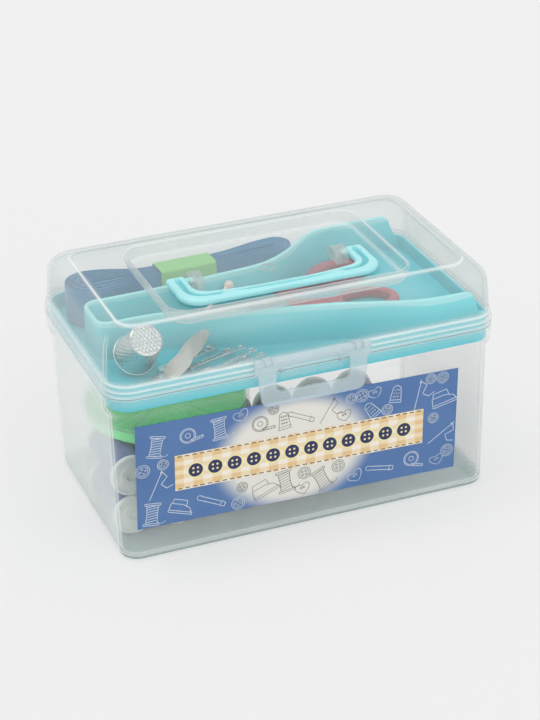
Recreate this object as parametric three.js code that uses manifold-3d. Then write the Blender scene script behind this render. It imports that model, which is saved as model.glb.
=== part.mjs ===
// A sewing kit in a clear carry box: tub, hinged lid with a sunk bail handle, snap latch,
// lift-out tray with scissors and notions, and a tub full of thread spools and a needle case.
// Millimetres, +Z up, front towards -Y, origin on the floor under the middle of the case.
import * as THREE from "three";
import { mergeVertices } from "three/addons/utils/BufferGeometryUtils.js";
import Module from "manifold-3d";

const wasm = await Module();
wasm.setup();

// Driving sizes of the case, measured over the lid's wall where it meets its rim
const caseLength = 180;
const caseDepth = 106;
const caseCorner = 10.6;
const baseHeight = 82.2;
const lidRise = 28.2;
const wall = 1.4;
const seatGap = 0.3;
const overrun = 5;
const degree = Math.PI / 180;

// Base tub
const footInset = 2;
const footFillet = 3.5;
const shoulderInset = 1;
const shoulderDrop = 12.2;
const rimFlareHeight = 6;
const rimOverhang = 1.2;
const rimThickness = 1.5;
const baseFloor = 1.8;
const ledgeDrop = 7;

// Lift-out tray
const trayInset = 1.1;
const trayWall = 1.3;
const trayRimRise = 4.7;
const trayFloorRise = 4.3;
const trayFloorThickness = 1.5;
const dividerTopRise = 18;
const dividerThickness = 2;
const dividerCorner = 5;

// Lid
const skirtOverhang = 1.4;
const skirtThickness = 1.4;
const beadHeight = 2.7;
const beadStep = 0.5;
const skirtHeight = 5.4;
const lidShoulderHeight = 18.9;
const lidShoulderInset = 1;
const lidRoundX = 7.6;
const lidRoundY = 9.1;
const lidCorner = 8.5;
const panelRise = 0.7;
const panelStep = 0.2;
const wellEndRoom = 8.9;
const panelBorder = 16;
const wellCentreY = -1;
const wellCorner = 9.5;
const wellDepth = 6.1;
const wellDraft = 1.2;
const gateRingRadius = 3.5;
const gateCentreX = 2;
const gateCentreY = 1;
const gateRingHeight = 0.5;

// Handle bail and its lugs
const bailHalfLength = 47.1;
const bailReach = 24;
const bailArmWidth = 8.8;
const bailBarWidth = 5.8;
const bailBarSwell = 2.2;
const bailThickness = 3.4;
const bailOuterRound = 9.5;
const bailInnerRound = 7;
const bailFloorGap = 0.6;
const bailTail = 1.9;
const bailPivotY = -3;
const grooveDepth = 1.6;
const pinRadius = 1.5;
const pinLength = 3;
const lugWidth = 6.6;
const lugHalfDepth = 5.4;
const lugSideGap = 0.5;

// Hinge at the back and latch at the front
const hingeReach = 3.6;
const hingeRise = 2.4;
const hingeRadius = 1.9;
const hingePinRadius = 0.9;
const hingeCentreX = 52;
const knuckleLength = 14;
const earThickness = 3;
const latchReach = 3.6;
const latchAxisRise = 6.2;
const latchRadius = 1.9;
const latchThickness = 1.8;
const latchDrop = 15;
const latchStepRise = 1.1;
const latchHalfTop = 27;
const latchHalfStep = 25.7;
const latchHalfBottom = 24.3;
const latchCorner = 4;
const windowHalf = 17.2;
const windowDrop = 8.6;
const windowRise = 3.4;
const windowCorner = 3;
const latchPinRadius = 0.9;
const latchKnuckleX = 21;
const latchKnuckleLength = 3.4;
const catchHalf = 14.8;
const catchDrop = 3.2;
const catchBar = 2;
const catchReach = 1.2;

// Front label
const labelSideMargin = 14;
const labelEndMargin = 15.6;
const labelThickness = 0.3;
const labelCentreX = -5;
const labelSink = 0.3;
const labelTilt = -1.3 * degree;

// Thread spools, stacked two high along the tub
const spoolRadius = 9.8;
const spoolLength = 38.5;
const spoolFlange = 2.2;
const spoolCoreRadius = 4;
const threadRadius = 8.4;
const spoolPitch = 20.2;
const spoolColumns = 7;
const spoolLayers = 2;
const spoolEndMargin = 13.4;
const spoolCentreY = -11.7;

// Round needle case lying on the spools
const needleCaseEndMargin = 42.1;
const needleCasePlayShare = 5.5 / 11.2;
const needleDishRadius = 36.6;
const needleDishHeight = 6.3;
const needleDishFloor = 1.2;
const needleRibs = 24;
const needleRibThickness = 0.8;
const needleHubRadius = 4;
const needleCoverRadius = 38.4;
const needleCoverSkirt = 5;
const needleCoverHole = 2.6;
const needleWindowRadius = 3.2;
const needleRivetHead = 4.6;
const needleRivetHeadHeight = 0.9;
const needleLength = 26;
const needleRadius = 0.45;
const needleCount = 4;
const needleFirstBay = 14.5;
const needleBayStep = 5;

// Elastic hank and its paper band, its middle line given as shares of the case's half sizes
const hankSpineShares = [[-84 / 90, 34 / 53], [-26.7 / 90, 34.3 / 53], [27 / 90, 39.4 / 53]];
const hankHeight = 17.4;
const hankLeftShare = 12.6 / 53;
const hankRightShare = 7.8 / 53;
const hankWaistHalf = 5;
const hankLoops = 4;
const hankStrip = 0.55;
const bandLength = 27;
const bandPaper = 0.6;

// Scissors
const scissorsXShare = 4 / 90;
const scissorsSideRoom = 5.84;
const bladeLength = 62;
const bladeThickness = 1.3;
const bladeHalfWidth = 5.2;
const bladeTang = 18;
const gripLength = 44;
const gripOffset = 12.2;
const gripLoopLength = 31;
const gripLoopWidth = 23;
const gripBar = 4.6;
const gripThickness = 4.6;
const gripCant = 7 * degree;
const rivetRadius = 1.8;
const rivetHeadRadius = 2.9;
const rivetHeadHeight = 0.7;
const lowerBladeTurn = 8 * degree;
const upperBladeTurn = -3 * degree;

// Thimble
const thimbleBase = 9.4;
const thimbleTop = 7.5;
const thimbleHeight = 19;
const thimbleWall = 0.7;
const thimbleLean = 46 * degree;
const thimbleHeading = 7.5 * degree;
const thimbleShares = [-70 / 90, -23.6 / 53];

// Needle threader
const threaderLength = 34;
const threaderWidth = 10.5;
const threaderThickness = 0.6;
const threaderLowShares = [-61 / 90, -42.9 / 53];
const threaderTopShare = -0.4001945;
const threaderRise = 13.5 * degree;
const bowLength = 9;
const bowHalfWidth = 2.4;
const bowWire = 0.3;

// Ball-ended bodkin
const bodkinBall = 2.35;
const bodkinStem = 0.9;
const bodkinTopShares = [-12.2 / 90, 14.6 / 53];
const bodkinTopRise = 13;
const bodkinEndShares = [-41 / 90, -4.5 / 53];

// Safety pins: the sizes they share, then coil and cap places as shares of the case's half sizes
const pinWire = 0.45;
const pinCoilRadius = 2.2;
const pinHalfSpread = 2.1;
const pinCoilClimb = 1.5;
const pinCapLength = 7;
const pinCapWidth = 6;
const pinCapHeight = 2.6;
const pinCapPocket = 3;
const pinCoilShares = [[-0.383, -0.392], [-0.318, -0.502], [-0.272, -0.698]];
const pinCapShares = [[-0.652, -0.6], [-0.706, -0.755], [-0.692, -0.893]];

// Heights and places that follow from the sizes above
const lidTop = baseHeight + lidRise;
const wellHalfLength = bailHalfLength + wellEndRoom;
const wellHalfDepth = caseDepth / 2 - panelBorder;
const hingeY = caseDepth / 2 + hingeReach;
const latchY = -caseDepth / 2 - latchReach;
const latchAxisZ = baseHeight + latchAxisRise;
const latchBottomZ = baseHeight - latchDrop;
const latchStepZ = baseHeight + latchStepRise;
const windowBottomZ = baseHeight - windowDrop;
const windowTopZ = baseHeight + windowRise;
const catchBottomZ = baseHeight - catchDrop;
const labelWidth = caseLength - 2 * labelSideMargin;
const labelHeight = baseHeight - 2 * labelEndMargin;
const labelCentreZ = baseHeight / 2 - labelSink;
const spoolStartX = -caseLength / 2 + spoolEndMargin;
const needleCaseX = -caseLength / 2 + needleCaseEndMargin;
const needleCasePlay = caseDepth / 2 - footInset - wall - needleCoverRadius;
const needleCaseY = needleCasePlay * needleCasePlayShare;
const casePoint = ([shareX, shareY]) =>
  new THREE.Vector2(shareX * caseLength / 2, shareY * caseDepth / 2);
const hankLeftHalf = hankLeftShare * caseDepth / 2;
const hankRightHalf = hankRightShare * caseDepth / 2;
const [hankStart, hankMiddle, hankEnd] = hankSpineShares.map(casePoint);
const scissorsX = scissorsXShare * caseLength / 2;
const { x: thimbleX, y: thimbleY } = casePoint(thimbleShares);
const { x: threaderLowX, y: threaderLowY } = casePoint(threaderLowShares);
const threaderRun = threaderLength * Math.cos(threaderRise);
const threaderHeading = Math.asin((threaderTopShare * caseDepth / 2 - threaderLowY) / threaderRun);
const { x: bodkinTopX, y: bodkinTopY } = casePoint(bodkinTopShares);
const { x: bodkinEndX, y: bodkinEndY } = casePoint(bodkinEndShares);
const ledgeZ = baseHeight - ledgeDrop;
const trayBottomZ = ledgeZ + seatGap;
const trayRimZ = baseHeight + trayRimRise;
const trayFloorZ = trayBottomZ + trayFloorRise;
const dividerTopZ = trayFloorZ + dividerTopRise;
const lidBottomZ = baseHeight + seatGap;
const skirtTopZ = lidBottomZ + skirtHeight;
const lidShoulderZ = lidBottomZ + lidShoulderHeight;
const panelTopZ = lidTop + panelRise;
const wellFloorZ = panelTopZ - wellDepth;
const hingeZ = baseHeight + hingeRise;
const bailBottomZ = wellFloorZ + bailFloorGap;
const bailPivotZ = bailBottomZ + bailThickness / 2;
const lugOuterX = bailHalfLength - bailArmWidth - lugSideGap;
const spoolFirstZ = baseFloor + seatGap + spoolRadius;
const spoolLayerPitch = 2 * spoolRadius + seatGap;
const needleCaseZ = spoolFirstZ + (spoolLayers - 1) * spoolLayerPitch + spoolRadius + seatGap;
const needleCoverZ = needleCaseZ + needleDishHeight + seatGap;
const trayTopZ = trayFloorZ + seatGap;
const lowBladeZ = trayTopZ + seatGap;
const highBladeZ = lowBladeZ + bladeThickness + seatGap;

// Colours and finishes
const clearPlastic = new THREE.MeshStandardMaterial({
  color: 0xdfe3e0, roughness: 0.3, transparent: true, opacity: 0.35 });
const milkyPlastic = new THREE.MeshStandardMaterial({
  color: 0xd5e2e8, roughness: 0.4, transparent: true, opacity: 0.6 });
const turquoisePlastic = new THREE.MeshStandardMaterial({ color: 0x7fd6dc, roughness: 0.35 });
const printedLabel = new THREE.MeshStandardMaterial({ color: 0x4f74a8, roughness: 0.6 });
const whitePlastic = new THREE.MeshStandardMaterial({ color: 0xe4e6e2, roughness: 0.45 });
const threads = [0x6f7fae, 0x8f8fb0, 0xb5a3a8, 0x9a8f9c, 0x7d8793, 0xc9c2bb, 0xa7a4b4].map(
  (color) => new THREE.MeshStandardMaterial({ color, roughness: 0.9 }),
);
const greenPlastic = new THREE.MeshStandardMaterial({ color: 0x7cc28e, roughness: 0.3 });
const blueElastic = new THREE.MeshStandardMaterial({ color: 0x3f6f9e, roughness: 0.9 });
const greenPaper = new THREE.MeshStandardMaterial({ color: 0x8fc98b, roughness: 0.8 });
const redPlastic = new THREE.MeshStandardMaterial({ color: 0xb02a3a, roughness: 0.35 });
const brightSteel = new THREE.MeshStandardMaterial({ color: 0xc8cbce, roughness: 0.3, metalness: 1 });
const palePlastic = new THREE.MeshStandardMaterial({ color: 0xe3c8bd, roughness: 0.4 });

// A closed geometry as a solid that can be joined and cut
function solid(geometry) {
  const bare = geometry.clone();
  bare.deleteAttribute("normal");
  bare.deleteAttribute("uv");
  const merged = mergeVertices(bare, 1e-4);
  return new wasm.Manifold(
    new wasm.Mesh({
      numProp: 3,
      vertProperties: merged.attributes.position.array,
      triVerts: new Uint32Array(merged.index.array),
    }),
  );
}

// A solid as a named mesh in the exported group
const sewingKit = new THREE.Group();
function addMesh(name, body, material) {
  const made = body.getMesh();
  const geometry = new THREE.BufferGeometry();
  geometry.setAttribute("position", new THREE.BufferAttribute(new Float32Array(made.vertProperties), 3));
  geometry.setIndex(new THREE.BufferAttribute(new Uint32Array(made.triVerts), 1));
  geometry.computeVertexNormals();
  const mesh = new THREE.Mesh(geometry, material);
  mesh.name = name;
  sewingKit.add(mesh);
  return mesh;
}

// The corner points of a rectangle with round corners, counter-clockwise at height z
function roundedLoop(halfX, halfY, radius, z, centreX = 0, centreY = 0, steps = 5) {
  const points = [];
  const corners = [[1, 1], [-1, 1], [-1, -1], [1, -1]];
  corners.forEach(([signX, signY], quarter) => {
    for (let step = 0; step <= steps; step++) {
      const turn = (quarter + step / steps) * 90 * degree;
      const x = centreX + signX * (halfX - radius) + radius * Math.cos(turn);
      const y = centreY + signY * (halfY - radius) + radius * Math.sin(turn);
      points.push(new THREE.Vector3(x, y, z));
    }
  });
  return points;
}

// A closed body through a stack of loops with equal counts, lowest loop first
function loft(loops) {
  const count = loops[0].length;
  const positions = loops.flat().flatMap((point) => point.toArray());
  const index = [];
  for (let level = 0; level < loops.length - 1; level++) {
    for (let i = 0; i < count; i++) {
      const a = level * count + i;
      const b = level * count + ((i + 1) % count);
      index.push(a, b, b + count, a, b + count, a + count);
    }
  }
  const last = (loops.length - 1) * count;
  for (let i = 1; i < count - 1; i++) {
    index.push(0, i + 1, i);
    index.push(last, last + i, last + i + 1);
  }
  const geometry = new THREE.BufferGeometry();
  geometry.setAttribute("position", new THREE.Float32BufferAttribute(positions, 3));
  geometry.setIndex(index);
  return solid(geometry);
}

// A flat outline raised along Z from a start height
function raise(shape, startZ, height, curveSegments = 6) {
  const geometry = new THREE.ExtrudeGeometry(shape, { depth: height, bevelEnabled: false, curveSegments });
  return solid(geometry.translate(0, 0, startZ));
}

// An outline drawn in Y and Z, run along X from a start
function runAlongX(shape, startX, length, curveSegments = 6) {
  const geometry = new THREE.ExtrudeGeometry(shape, { depth: length, bevelEnabled: false, curveSegments });
  const turn = new THREE.Matrix4().makeBasis(
    new THREE.Vector3(0, 1, 0), new THREE.Vector3(0, 0, 1), new THREE.Vector3(1, 0, 0));
  return solid(geometry.applyMatrix4(turn).translate(startX, 0, 0));
}

// A round bar along X
function barAlongX(radius, startX, length, y, z, sides = 14) {
  const geometry = new THREE.CylinderGeometry(radius, radius, length, sides);
  return solid(geometry.rotateZ(90 * degree).translate(startX + length / 2, y, z));
}

// A block between two corners
function block(x0, x1, y0, y1, z0, z1) {
  const geometry = new THREE.BoxGeometry(x1 - x0, y1 - y0, z1 - z0);
  return solid(geometry.translate((x0 + x1) / 2, (y0 + y1) / 2, (z0 + z1) / 2));
}

// An upright body turned about Z from a closed profile of [radius, height] points
function turned(profile, x, y, z, sides = 24) {
  const points = profile.map(([radius, height]) => new THREE.Vector2(radius, height));
  const geometry = new THREE.LatheGeometry(points, sides).rotateX(90 * degree);
  return solid(geometry.translate(x, y, z));
}

// A level loop around the case, set out or in from its driving rectangle
function caseLoop(offsetX, offsetY, z, radius) {
  return roundedLoop(caseLength / 2 + offsetX, caseDepth / 2 + offsetY, radius, z);
}
const evenLoop = (offset, z) => caseLoop(offset, offset, z, caseCorner + offset);

// Base tub: drafted walls, a flared rim with a ledge inside, hinge ears and the catch frame
function baseTub() {
  const filletSteps = 3;
  const outer = [];
  const inner = [];
  for (let step = 0; step <= filletSteps; step++) {
    const turn = (step / filletSteps) * 90 * degree;
    const inset = footInset + footFillet * (1 - Math.sin(turn));
    const rise = footFillet * (1 - Math.cos(turn));
    outer.push(evenLoop(-inset, rise));
    inner.push(evenLoop(-inset - wall, rise + baseFloor));
  }
  const shoulderZ = baseHeight - shoulderDrop;
  const flareTopZ = shoulderZ + rimFlareHeight;
  outer.push(evenLoop(-shoulderInset, shoulderZ));
  outer.push(evenLoop(rimOverhang, flareTopZ));
  outer.push(evenLoop(rimOverhang, baseHeight));
  const ledgeOuter = rimOverhang - rimThickness;
  inner.push(evenLoop(-shoulderInset - wall, ledgeZ));
  inner.push(evenLoop(ledgeOuter, ledgeZ + seatGap / 2));
  inner.push(evenLoop(ledgeOuter, baseHeight + overrun));
  let tub = loft(outer).subtract(loft(inner));
  for (const side of [-1, 1]) {
    for (const end of [-1, 1]) {
      tub = tub.add(hingeEar(side * hingeCentreX, end));
    }
  }
  return tub.add(catchFrame(baseHeight - seatGap, catchBottomZ));
}

// One hinge ear of the tub: a plate that stands off the rim's back, with a hole for the lid's pin
function hingeEar(centreX, end) {
  const startX = centreX + end * (knuckleLength / 2 + seatGap) + (end < 0 ? -earThickness : 0);
  const rimBack = caseDepth / 2 + rimOverhang;
  const shape = new THREE.Shape();
  shape.moveTo(rimBack - rimThickness / 2, baseHeight - shoulderDrop / 2);
  shape.lineTo(hingeY + hingeRadius, hingeZ - hingeRadius);
  shape.absarc(hingeY, hingeZ, hingeRadius, 0, 180 * degree, false);
  shape.lineTo(hingeY - hingeRadius, baseHeight - seatGap);
  shape.lineTo(rimBack - rimThickness / 2, baseHeight - seatGap);
  shape.closePath();
  const ear = runAlongX(shape, startX, earThickness);
  const holeLength = earThickness + 2 * overrun;
  return ear.subtract(barAlongX(hingePinRadius + seatGap, startX - overrun, holeLength, hingeY, hingeZ));
}

// The thin U-shaped frame on the front that the latch's window closes round
function catchFrame(topZ, bottomZ) {
  const front = -(caseDepth / 2 + rimOverhang + catchReach);
  const back = -(caseDepth / 2 + rimOverhang - rimThickness / 2);
  const frame = block(-catchHalf, catchHalf, front, back, bottomZ, topZ);
  const inside = block(-catchHalf + catchBar, catchHalf - catchBar,
    front - overrun, back + overrun, bottomZ + catchBar, topZ + overrun);
  const feet = block(-catchHalf, catchHalf, back - rimThickness / 4, back, bottomZ, topZ);
  return frame.subtract(inside).add(feet);
}

// Outlines of the tray's two S-curved dividers, left to right, as shares of the case's half sizes
const backDividerShares = [
  [-0.84, 0.28], [-0.56, 0.292], [-0.17, 0.349], [0.078, 0.406], [0.233, 0.547],
  [0.344, 0.708], [0.467, 0.858], [0.667, 0.897], [0.967, 0.897],
];
const frontDividerShares = [
  [-0.84, -0.17], [-0.56, -0.189], [-0.244, -0.396], [0.078, -0.528], [0.256, -0.604],
  [0.4, -0.698], [0.644, -0.83], [0.911, -0.85], [0.967, -0.85],
];
const dividerLeftShare = -0.9;
const scissorsY = backDividerShares[0][1] * caseDepth / 2 - scissorsSideRoom;

// Centre line of the dividers: back wall from its right end, round the left end, front wall to the right
function dividerLine() {
  const back = new THREE.SplineCurve(backDividerShares.map(casePoint)).getPoints(26).reverse();
  const front = new THREE.SplineCurve(frontDividerShares.map(casePoint)).getPoints(26);
  const leftX = dividerLeftShare * caseLength / 2;
  const cornerPoints = (centreX, centreY, radius, from, to) => {
    const arc = new THREE.EllipseCurve(centreX, centreY, radius, radius, from, to, false);
    return arc.getPoints(4);
  };
  const backY = back[back.length - 1].y;
  const frontY = front[0].y;
  const round = back[back.length - 1].x - leftX;
  return [
    ...back.slice(0, -1),
    ...cornerPoints(leftX + round, backY - round, round, 90 * degree, 180 * degree),
    ...cornerPoints(leftX + round, frontY + round, round, 180 * degree, 270 * degree),
    ...front.slice(1),
  ];
}

// A band of even thickness along a line of points
function bandShape(line, thickness) {
  const left = [];
  const right = [];
  line.forEach((point, i) => {
    const before = line[Math.max(i - 1, 0)];
    const after = line[Math.min(i + 1, line.length - 1)];
    const along = after.clone().sub(before).normalize();
    const side = new THREE.Vector2(-along.y, along.x).multiplyScalar(thickness / 2);
    left.push(point.clone().add(side));
    right.push(point.clone().sub(side));
  });
  return new THREE.Shape([...left, ...right.reverse()]);
}

// Tray: rim wall, floor and the two dividers, whose right ends drop to the rim in a round corner
function tray() {
  const outerWall = loft([evenLoop(-trayInset, trayBottomZ), evenLoop(-trayInset, trayRimZ)]);
  const above = loft([
    evenLoop(-trayInset - trayWall, trayFloorZ), evenLoop(-trayInset - trayWall, trayRimZ + overrun)]);
  const below = loft([
    evenLoop(-trayInset - trayWall, trayBottomZ - overrun),
    evenLoop(-trayInset - trayWall, trayFloorZ - trayFloorThickness)]);
  const divider = raise(bandShape(dividerLine(), dividerThickness), trayFloorZ - trayFloorThickness / 2,
    dividerTopRise + trayFloorThickness / 2);
  const endX = caseLength / 2 - trayInset - trayWall - dividerCorner;
  const rimX = caseLength / 2 + overrun;
  const drop = new THREE.Shape();
  drop.moveTo(endX - dividerCorner, dividerTopZ);
  drop.absarc(endX - dividerCorner, dividerTopZ - dividerCorner, dividerCorner, 90 * degree, 0, true);
  drop.lineTo(endX, trayRimZ);
  drop.lineTo(rimX, trayRimZ);
  drop.lineTo(rimX, dividerTopZ + overrun);
  drop.lineTo(endX - dividerCorner, dividerTopZ + overrun);
  drop.closePath();
  const depth = caseDepth + 2 * overrun;
  const cutter = solid(new THREE.ExtrudeGeometry(drop, { depth, bevelEnabled: false, curveSegments: 4 })
    .rotateX(90 * degree).translate(0, depth / 2, 0));
  const midWall = -trayInset - trayWall / 2;
  const inside = loft([evenLoop(midWall, trayBottomZ), evenLoop(midWall, dividerTopZ + overrun)]);
  return outerWall.subtract(above).subtract(below).add(divider.subtract(cutter).intersect(inside));
}

// Outer or inner skin of the lid as one closed body; depth is how far it lies inside the outer skin
function lidSkin(depth) {
  const loops = [];
  const inner = depth > 0;
  const reach = inner ? skirtOverhang - skirtThickness : skirtOverhang;
  const bottom = inner ? lidBottomZ - overrun : lidBottomZ;
  loops.push(evenLoop(reach, bottom));
  if (inner) {
    loops.push(evenLoop(reach, skirtTopZ - depth / 2));
    loops.push(evenLoop(-depth, skirtTopZ - depth / 4));
  } else {
    loops.push(evenLoop(reach, lidBottomZ + beadHeight));
    loops.push(evenLoop(reach - beadStep, lidBottomZ + beadHeight + beadStep));
    loops.push(evenLoop(reach - beadStep, skirtTopZ));
    loops.push(evenLoop(0, skirtTopZ + beadStep));
  }
  const roundSteps = 5;
  const roundHeight = lidTop - lidShoulderZ;
  for (let step = 0; step <= roundSteps; step++) {
    const turn = (step / roundSteps) * 90 * degree;
    const inset = lidShoulderInset + depth;
    const offsetX = -inset - (lidRoundX - depth) * (1 - Math.cos(turn));
    const offsetY = -inset - (lidRoundY - depth) * (1 - Math.cos(turn));
    const z = lidShoulderZ + (roundHeight - depth) * Math.sin(turn);
    loops.push(caseLoop(offsetX, offsetY, z, lidCorner));
  }
  return loft(loops);
}

// The sunk well as a body, grown outwards by a wall and reaching above the top
function wellBody(grow, floorZ, topZ) {
  const steps = 5;
  const low = (inset, z) => roundedLoop(
    wellHalfLength - wellDraft + grow - inset, wellHalfDepth - wellDraft + grow - inset,
    wellCorner - wellDraft + grow - inset, z, 0, wellCentreY, steps);
  const high = (z) => roundedLoop(
    wellHalfLength + grow, wellHalfDepth + grow, wellCorner + grow, z, 0, wellCentreY, steps);
  return loft([low(beadStep, floorZ), low(0, floorZ + beadStep), high(panelTopZ), high(topZ)]);
}

// Lid: domed shell with the raised panel, the well, handle lugs, hinge and latch knuckles
function lid() {
  const panelLoop = (z) => caseLoop(
    -lidRoundX - lidShoulderInset - panelStep, -lidRoundY - lidShoulderInset - panelStep, z, lidCorner);
  const panel = loft([panelLoop(lidTop - wall), panelLoop(panelTopZ)]);
  let shell = lidSkin(0).add(panel);
  shell = shell.subtract(wellBody(0, wellFloorZ, panelTopZ + overrun));
  const hollow = lidSkin(wall).subtract(wellBody(wall, wellFloorZ - wall, panelTopZ + overrun));
  shell = shell.subtract(hollow);
  shell = shell.add(handleLug(1)).add(handleLug(-1)).add(gateRing());
  for (const side of [-1, 1]) {
    shell = shell.add(hingeKnuckle(side * hingeCentreX)).add(latchKnuckle(side * latchKnuckleX));
  }
  return shell.add(lidCatchRibs());
}

// A D-shaped lug on the well's floor with a blind hole for the bail's pin
function handleLug(side) {
  const startX = side > 0 ? lugOuterX - lugWidth : -lugOuterX;
  const crownZ = panelTopZ - lugHalfDepth;
  const shape = new THREE.Shape();
  shape.moveTo(bailPivotY - lugHalfDepth, wellFloorZ - wall / 2);
  shape.lineTo(bailPivotY + lugHalfDepth, wellFloorZ - wall / 2);
  shape.lineTo(bailPivotY + lugHalfDepth, crownZ);
  shape.absarc(bailPivotY, crownZ, lugHalfDepth, 0, 180 * degree, false);
  shape.closePath();
  const lug = runAlongX(shape, startX, lugWidth, 10);
  const holeLength = pinLength + lugSideGap;
  const holeX = side > 0 ? lugOuterX - holeLength : -lugOuterX - lugSideGap;
  return lug.subtract(barAlongX(pinRadius + seatGap, holeX, holeLength + lugSideGap, bailPivotY, bailPivotZ));
}

// The moulding gate's shallow ring in the middle of the well
function gateRing() {
  const profile = [
    [gateRingRadius - gateRingHeight, -wall / 2], [gateRingRadius, -wall / 2],
    [gateRingRadius, gateRingHeight], [gateRingRadius - gateRingHeight, gateRingHeight],
    [gateRingRadius - gateRingHeight, -wall / 2]];
  return turned(profile, gateCentreX, gateCentreY, wellFloorZ, 16);
}

// One lid knuckle with a stub pin at each end, on two arms from the skirt
function hingeKnuckle(centreX) {
  const startX = centreX - knuckleLength / 2;
  const skirtBack = caseDepth / 2 + skirtOverhang;
  const barrel = barAlongX(hingeRadius, startX, knuckleLength, hingeY, hingeZ);
  const pinReach = earThickness + seatGap;
  const pins = barAlongX(hingePinRadius, startX - pinReach, knuckleLength + 2 * pinReach, hingeY, hingeZ);
  const arm = block(startX, startX + knuckleLength, skirtBack - skirtThickness / 2, hingeY,
    hingeZ - hingeRadius / 3, hingeZ + hingeRadius * 0.8);
  return barrel.add(pins).add(arm);
}

// One lid knuckle that the latch's axle runs through
function latchKnuckle(centreX) {
  const startX = centreX - latchKnuckleLength / 2;
  const wallFront = -(caseDepth / 2 - wall / 2);
  const half = latchRadius * 0.6;
  const arm = block(startX, startX + latchKnuckleLength, latchY, wallFront,
    latchAxisZ - half, latchAxisZ + half);
  const barrel = barAlongX(latchRadius, startX, latchKnuckleLength, latchY, latchAxisZ);
  const hole = barAlongX(latchPinRadius + seatGap, startX - overrun, latchKnuckleLength + 2 * overrun,
    latchY, latchAxisZ);
  return barrel.add(arm).subtract(hole);
}

// Two low ribs on the lid's skirt that carry on the lines of the base's catch frame
function lidCatchRibs() {
  const front = -(caseDepth / 2 + rimOverhang + catchReach);
  const back = -(caseDepth / 2 + skirtOverhang - beadStep - skirtThickness / 2);
  const topZ = latchAxisZ - latchRadius - seatGap;
  const rib = (startX) => block(startX, startX + catchBar, front, back, lidBottomZ + seatGap, topZ);
  return rib(-catchHalf).add(rib(catchHalf - catchBar));
}

// Bail handle: U in plan with swollen ends of the bar, a channelled top and two inward pins
function bail() {
  const barFront = bailPivotY - bailReach;
  const tailY = bailPivotY + bailTail;
  const innerX = bailHalfLength - bailArmWidth;
  const cornerY = barFront + bailBarWidth + bailBarSwell;
  const middleY = barFront + bailBarWidth;
  const outer = bailOuterRound;
  const shape = new THREE.Shape();
  shape.moveTo(-bailHalfLength, tailY);
  shape.lineTo(-bailHalfLength, barFront + outer);
  shape.absarc(-bailHalfLength + outer, barFront + outer, outer, 180 * degree, 270 * degree, false);
  shape.lineTo(bailHalfLength - outer, barFront);
  shape.absarc(bailHalfLength - outer, barFront + outer, outer, 270 * degree, 360 * degree, false);
  shape.lineTo(bailHalfLength, tailY);
  shape.lineTo(innerX, tailY);
  shape.lineTo(innerX, cornerY + bailInnerRound);
  const inner = bailInnerRound;
  shape.absarc(innerX - inner, cornerY + inner, inner, 0, -90 * degree, true);
  shape.quadraticCurveTo(innerX / 2, middleY, 0, middleY);
  shape.quadraticCurveTo(-innerX / 2, middleY, -innerX + inner, cornerY);
  shape.absarc(-innerX + inner, cornerY + inner, inner, -90 * degree, -180 * degree, true);
  shape.lineTo(-innerX, tailY);
  shape.closePath();
  const bevel = bailThickness / 5;
  const body = solid(new THREE.ExtrudeGeometry(shape, {
    depth: bailThickness - 2 * bevel, bevelThickness: bevel, bevelSize: bevel, bevelOffset: -bevel,
    bevelSegments: 2, curveSegments: 7,
  }).translate(0, 0, bailBottomZ + bevel));
  const grooveZ = bailBottomZ + bailThickness - grooveDepth;
  let grooved = body.subtract(raise(barGroove(barFront), grooveZ, bailThickness));
  for (const side of [-1, 1]) {
    grooved = grooved.subtract(raise(armGroove(side, barFront, tailY), grooveZ, bailThickness));
    const startX = side > 0 ? lugOuterX - pinLength : -innerX - bevel;
    const length = innerX + bevel - (lugOuterX - pinLength);
    grooved = grooved.add(barAlongX(pinRadius, startX, length, bailPivotY, bailPivotZ));
  }
  return grooved;
}

// The long groove along the bar, widest in the middle and pointed at its ends
function barGroove(barFront) {
  const half = bailHalfLength - bailOuterRound - bailArmWidth;
  const low = barFront + bailBarWidth * 0.3;
  const high = barFront + bailBarWidth * 0.7;
  const ends = barFront + bailBarWidth * 0.55;
  const shape = new THREE.Shape();
  shape.moveTo(-half, ends);
  shape.quadraticCurveTo(-half / 2, low, 0, low);
  shape.quadraticCurveTo(half / 2, low, half, ends);
  shape.quadraticCurveTo(half / 2, high, 0, high);
  shape.quadraticCurveTo(-half / 2, high, -half, ends);
  return shape;
}

// The wide channel along one arm and round its corner
function armGroove(side, barFront, tailY) {
  const middle = bailHalfLength - bailArmWidth / 2;
  const round = bailOuterRound - bailArmWidth / 4;
  const barMiddle = barFront + bailBarWidth * 0.62;
  const line = [new THREE.Vector2(side * middle, tailY - bailTail / 2)];
  const steps = 6;
  for (let step = 0; step <= steps; step++) {
    const turn = (step / steps) * 90 * degree;
    const x = middle - round + round * Math.cos(turn);
    line.push(new THREE.Vector2(side * x, barMiddle + round - round * Math.sin(turn)));
  }
  line.push(new THREE.Vector2(side * (middle - round - bailArmWidth / 2), barMiddle));
  return bandShape(side > 0 ? line : line.reverse(), bailArmWidth * 0.42);
}

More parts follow.
